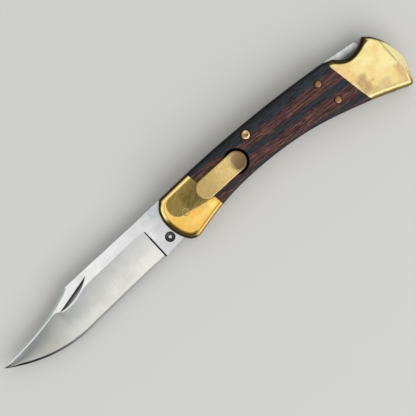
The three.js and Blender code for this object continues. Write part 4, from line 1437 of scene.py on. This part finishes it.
def hollowColour():  # duller than the flats as a satin finish, and darker as painted shade under the grinding line, where the hollow tilts most, and towards the tip
    x = along("X")
    low, high = ramped(x, *hollowStops["low"]), ramped(x, *hollowStops["high"])
    return mixed(facing(0, -1, 0, 0.0, 0.18), low, high)


def edgeColour():
    return ramped(along("X"), *edgeStops)


def nickColour():
    return ramped(along("Y", bladeShape["nickTurn"], (*bladeShape["nick"], 0)), *nickStops)


def searColour():
    rings = [(radius, searTones[tone]) for radius, tone in searRings]
    return ramped(fromPoint(*bladeShape["sear"]), *rings)


bladeLooks = {
    "flat": steelLook("bladeFlatSteel", flatColour, ((9, 0.11, 9), 6), 0.24),
    "hollow": steelLook("bladeHollowSteel", hollowColour, ((0.10, 9, 9), 4), 0.34, 0.006),
    "edge": steelLook("bladeEdgeSteel", edgeColour, ((0.25, 3, 3), 12), 0.36),
    "swedge": steelLook("bladeSwedgeSteel", steelTones["swedge"], ((0.12, 4, 4), 20), 0.3),
    "nick": steelLook("bladeNickSteel", nickColour, ((0.3, 2, 2), 18), 0.3),
    "plunge": steelLook("bladePlungeSteel", steelTones["plunge"], ((0.2, 2, 2), 0), 0.45),
    "sear": steelLook("bladeSearSteel", searColour, ((0.2, 0.2, 0.2), 0), 0.3),
}
barTones = {
    "bright": (0.68, 0.70, 0.70),
    "wearAndShade": (0.34, 0.355, 0.35),
    "low": (0.062, 0.065, 0.066),
    "plain": (0.487, 0.488, 0.495),
}


def barColour():  # painted shade: bright along the back, and darker down in the thumb cut-out
    wearAndShade = spread(grain(*grains["barWear"]), 0.44, 0.62, 0, 0.55)
    bright = mixed(wearAndShade, barTones["bright"], barTones["wearAndShade"])
    high = spread(along("Y"), 11.2, 14.8)
    lit = calc("MAXIMUM", high, spread(along("X"), 86, 82))
    return mixed(lit, barTones["low"], bright)


barSteel = steelLook("lockBarSteel", barColour, ((8, 0.14, 8), 24), 0.3)
springSteel = steelLook("springSteel", barTones["plain"], ((0.8, 0.12, 0.8), 0), 0.32)
print("materials made")

# How far the faces of each zone lean
zoneTilts = {"plunge": (0.25, 0.15), "wall": 0.3, "nick": 0.08, "edge": 0.2, "swedge": 0.25}


def inSear(x, y, height):
    shape = bladeShape
    fromMiddle = math.hypot(x - shape["sear"][0], y - shape["sear"][1])
    return fromMiddle < shape["searRadius"] + 2 * hair and 5 * hair < height < shape["half"] - hair


def inNick(x, y, normal):  # on the floor of the nick, but not on its upper wall
    shape, turn = bladeShape, math.radians(bladeShape["nickTurn"])
    down = -(x - shape["nick"][0]) * math.sin(turn) + (y - shape["nick"][1]) * math.cos(turn)
    side = (x - shape["nick"][0]) * math.cos(turn) + (y - shape["nick"][1]) * math.sin(turn)
    inside = abs(side) < shape["nickLength"] / 2 and -shape["nickWidth"] < down < 2 * hair
    return inside and normal.y * math.cos(turn) - normal.x * math.sin(turn) > zoneTilts["nick"]


def bladeZone(face):  # the finish of a face of the blade, by where it lies and how it is tilted
    shape, tilts, normal = bladeShape, zoneTilts, face.normal
    x, y, z = face.calc_center_median() / mm
    if inSear(x, y, abs(z - middle)):
        return "sear"
    spine, edge = spineHeight(x), edgeHeight(x)
    fromPlunge = x - shape["plungeLean"] * (spine - y) / (spine - edge) - shape["plungeX"]
    leaning = abs(normal.x) > tilts["plunge"][0] and abs(normal.z) > tilts["plunge"][1]
    if leaning and -1.5 < fromPlunge < 0.2:
        return "plunge"
    if fromPlunge > 0 or abs(normal.z) < tilts["wall"]:
        return "flat"
    if z > middle and inNick(x, y, normal):
        return "nick"
    if y < edge + shape["edgeBevel"] * 0.98 and abs(normal.y) > tilts["edge"]:
        return "edge"
    if x < shape["clipX"] and normal.y > tilts["swedge"]:
        return "swedge"
    lean = shape["plungeLean"] * max(0, 1 - (shape["plungeX"] - x) / shape["leanRun"]) * 0.5
    if y < bladeLines(x - lean)[2] + 2 * hair:
        return "hollow"
    return "flat"


# What each piece rides on, stands for and is finished in
dressing = [
    (showCovers["frontBolster"], "handle", ["front_bolster_show"], "bolster_brass", frontBrass),
    (pileCovers["frontBolster"], "handle", ["front_bolster_pile"], "bolster_brass", frontBrass),
    (showCovers["rearBolster"], "handle", ["rear_bolster_show"], "bolster_brass", rearBrass),
    (pileCovers["rearBolster"], "handle", ["rear_bolster_pile"], "bolster_brass", rearBrass),
    (showCovers["woodScale"], "handle", ["scale_show"], "laminated_wood", scaleWood),
    (pileCovers["woodScale"], "handle", ["scale_pile"], "laminated_wood", scaleWood),
    (linerShow, "handle", ["liner_show"], "liner_brass", linerBrass),
    (linerPile, "handle", ["liner_pile"], "liner_brass", linerBrass),
    (spacer, "handle", ["rear_spacer"], "bar_steel", springSteel),
    (pinPieces["pivotPinFlush"], "handle", ["pivot_pin"], "pin_brass", frontBrass),
    (pinPieces["rockerPinHeaded"], "handle", ["rocker_pin"], "pin_brass", pinBrass),
    (pinPieces["upperRivetShow"], "handle", ["scale_rivet_show_upper"], "pin_brass", rivetBrass),
    (pinPieces["lowerRivetShow"], "handle", ["scale_rivet_show_lower"], "pin_brass", rivetBrass),
    (pinPieces["upperRivetPile"], "handle", ["scale_rivet_pile_upper"], "pin_brass", rivetBrass),
    (pinPieces["lowerRivetPile"], "handle", ["scale_rivet_pile_lower"], "pin_brass", rivetBrass),
    (blade, "blade", ["blade"], "blade_steel", bladeLooks["flat"]),
    (lockBar, "lock_bar", ["lock_bar"], "bar_steel", barSteel),
    (leverPlate, "release_lever", ["release_lever"], "lever_brass", leverBrass),
]
for piece, body, nodes, slot, look in dressing:
    piece.data.materials.clear()
    piece.data.materials.append(look)
    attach(piece, body)
    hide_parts(*nodes)
hiddenPieces = {
    "spacer_pin_upper": springSteel,
    "spacer_pin_lower": springSteel,
    "lock_spring": springSteel,
    "kick_spring": springSteel,
    "lever_pin": springSteel,
    "lever_spring": springSteel,
    "sear_pin": springSteel,
    "lever_saddle": linerBrass,
}
for name, look in hiddenPieces.items():
    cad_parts[name].data.materials.clear()
    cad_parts[name].data.materials.append(look)
for zone in list(bladeLooks)[1:]:
    blade.data.materials.append(bladeLooks[zone])
edit(blade)
for slotIndex, zone in enumerate(bladeLooks):
    pick(blade, "faces", lambda face: bladeZone(face) == zone)
    blade.active_material_index = slotIndex
    bpy.ops.object.material_slot_assign()
done()
print("pieces dressed")


# Floor, light and camera
bpy.ops.object.select_all(action="DESELECT")
bpy.ops.mesh.primitive_plane_add(size=6)
floor = named("studioFloor")
floorTone = (0.66, 0.66, 0.645)
floor.data.materials.append(finished(newLook("paleFloor"), floorTone, 0.8, metal=0.0, gloss=0.2))

# A pale room with its light above: how bright it is at the sine of each elevation
sky = [(0.0, 0.78), (0.12, 0.78), (0.35, 0.52), (0.62, 0.66), (0.86, 1.0), (1.0, 1.0)]
shade = {"side": (-0.5, 0.86, 0), "from": 0.25, "to": 0.75, "strength": 0.5}
world = nodesOf(bpy.data.worlds.new("studioSky"))
bpy.context.scene.world = world
direction = node("TexCoord", {}).outputs["Generated"]
elevation = node("SeparateXYZ", {"Vector": direction}).outputs["Z"]
room = ramped(elevation, *[(height, (grey, grey, grey)) for height, grey in sky])
side = node("VectorMath", {0: direction, 1: shade["side"]}, operation="DOT_PRODUCT").outputs["Value"]
room = mixed(spread(side, shade["from"], shade["to"], 0, shade["strength"]), room, (0.0, 0.0, 0.0))
background = world.node_tree.nodes["Background"]
put(background.inputs["Color"], room)
background.inputs["Strength"].default_value = 1.0

keyLight = {"place": (0.2, -1.0, 1.1), "size": 1.3, "power": 9}
softbox = bpy.data.lights.new("keySoftbox", "AREA")
softbox.size = keyLight["size"]
softbox.energy = keyLight["power"]
lamp = bpy.data.objects.new("keySoftbox", softbox)
bpy.context.scene.collection.objects.link(lamp)
lamp.location = keyLight["place"]
lamp.rotation_euler = (-Vector(keyLight["place"])).to_track_quat("-Z", "Y").to_euler()

view = {"centre": (8.63, -4.51), "width": 179.3, "turn": -37, "height": 900, "focus": 12, "sensor": 36}
camera = bpy.data.objects.new("camera", bpy.data.cameras.new("camera"))
bpy.context.scene.collection.objects.link(camera)
camera.location = (view["centre"][0] * mm, view["centre"][1] * mm, view["height"] * mm)
camera.rotation_euler = (0, 0, math.radians(view["turn"]))
camera.data.lens = view["sensor"] * (view["height"] - view["focus"]) / view["width"]
camera.data.clip_end = 20
bpy.context.scene.camera = camera
bpy.context.scene.view_settings.view_transform = "Standard"
print("studio set")

bpy.context.view_layer.update()
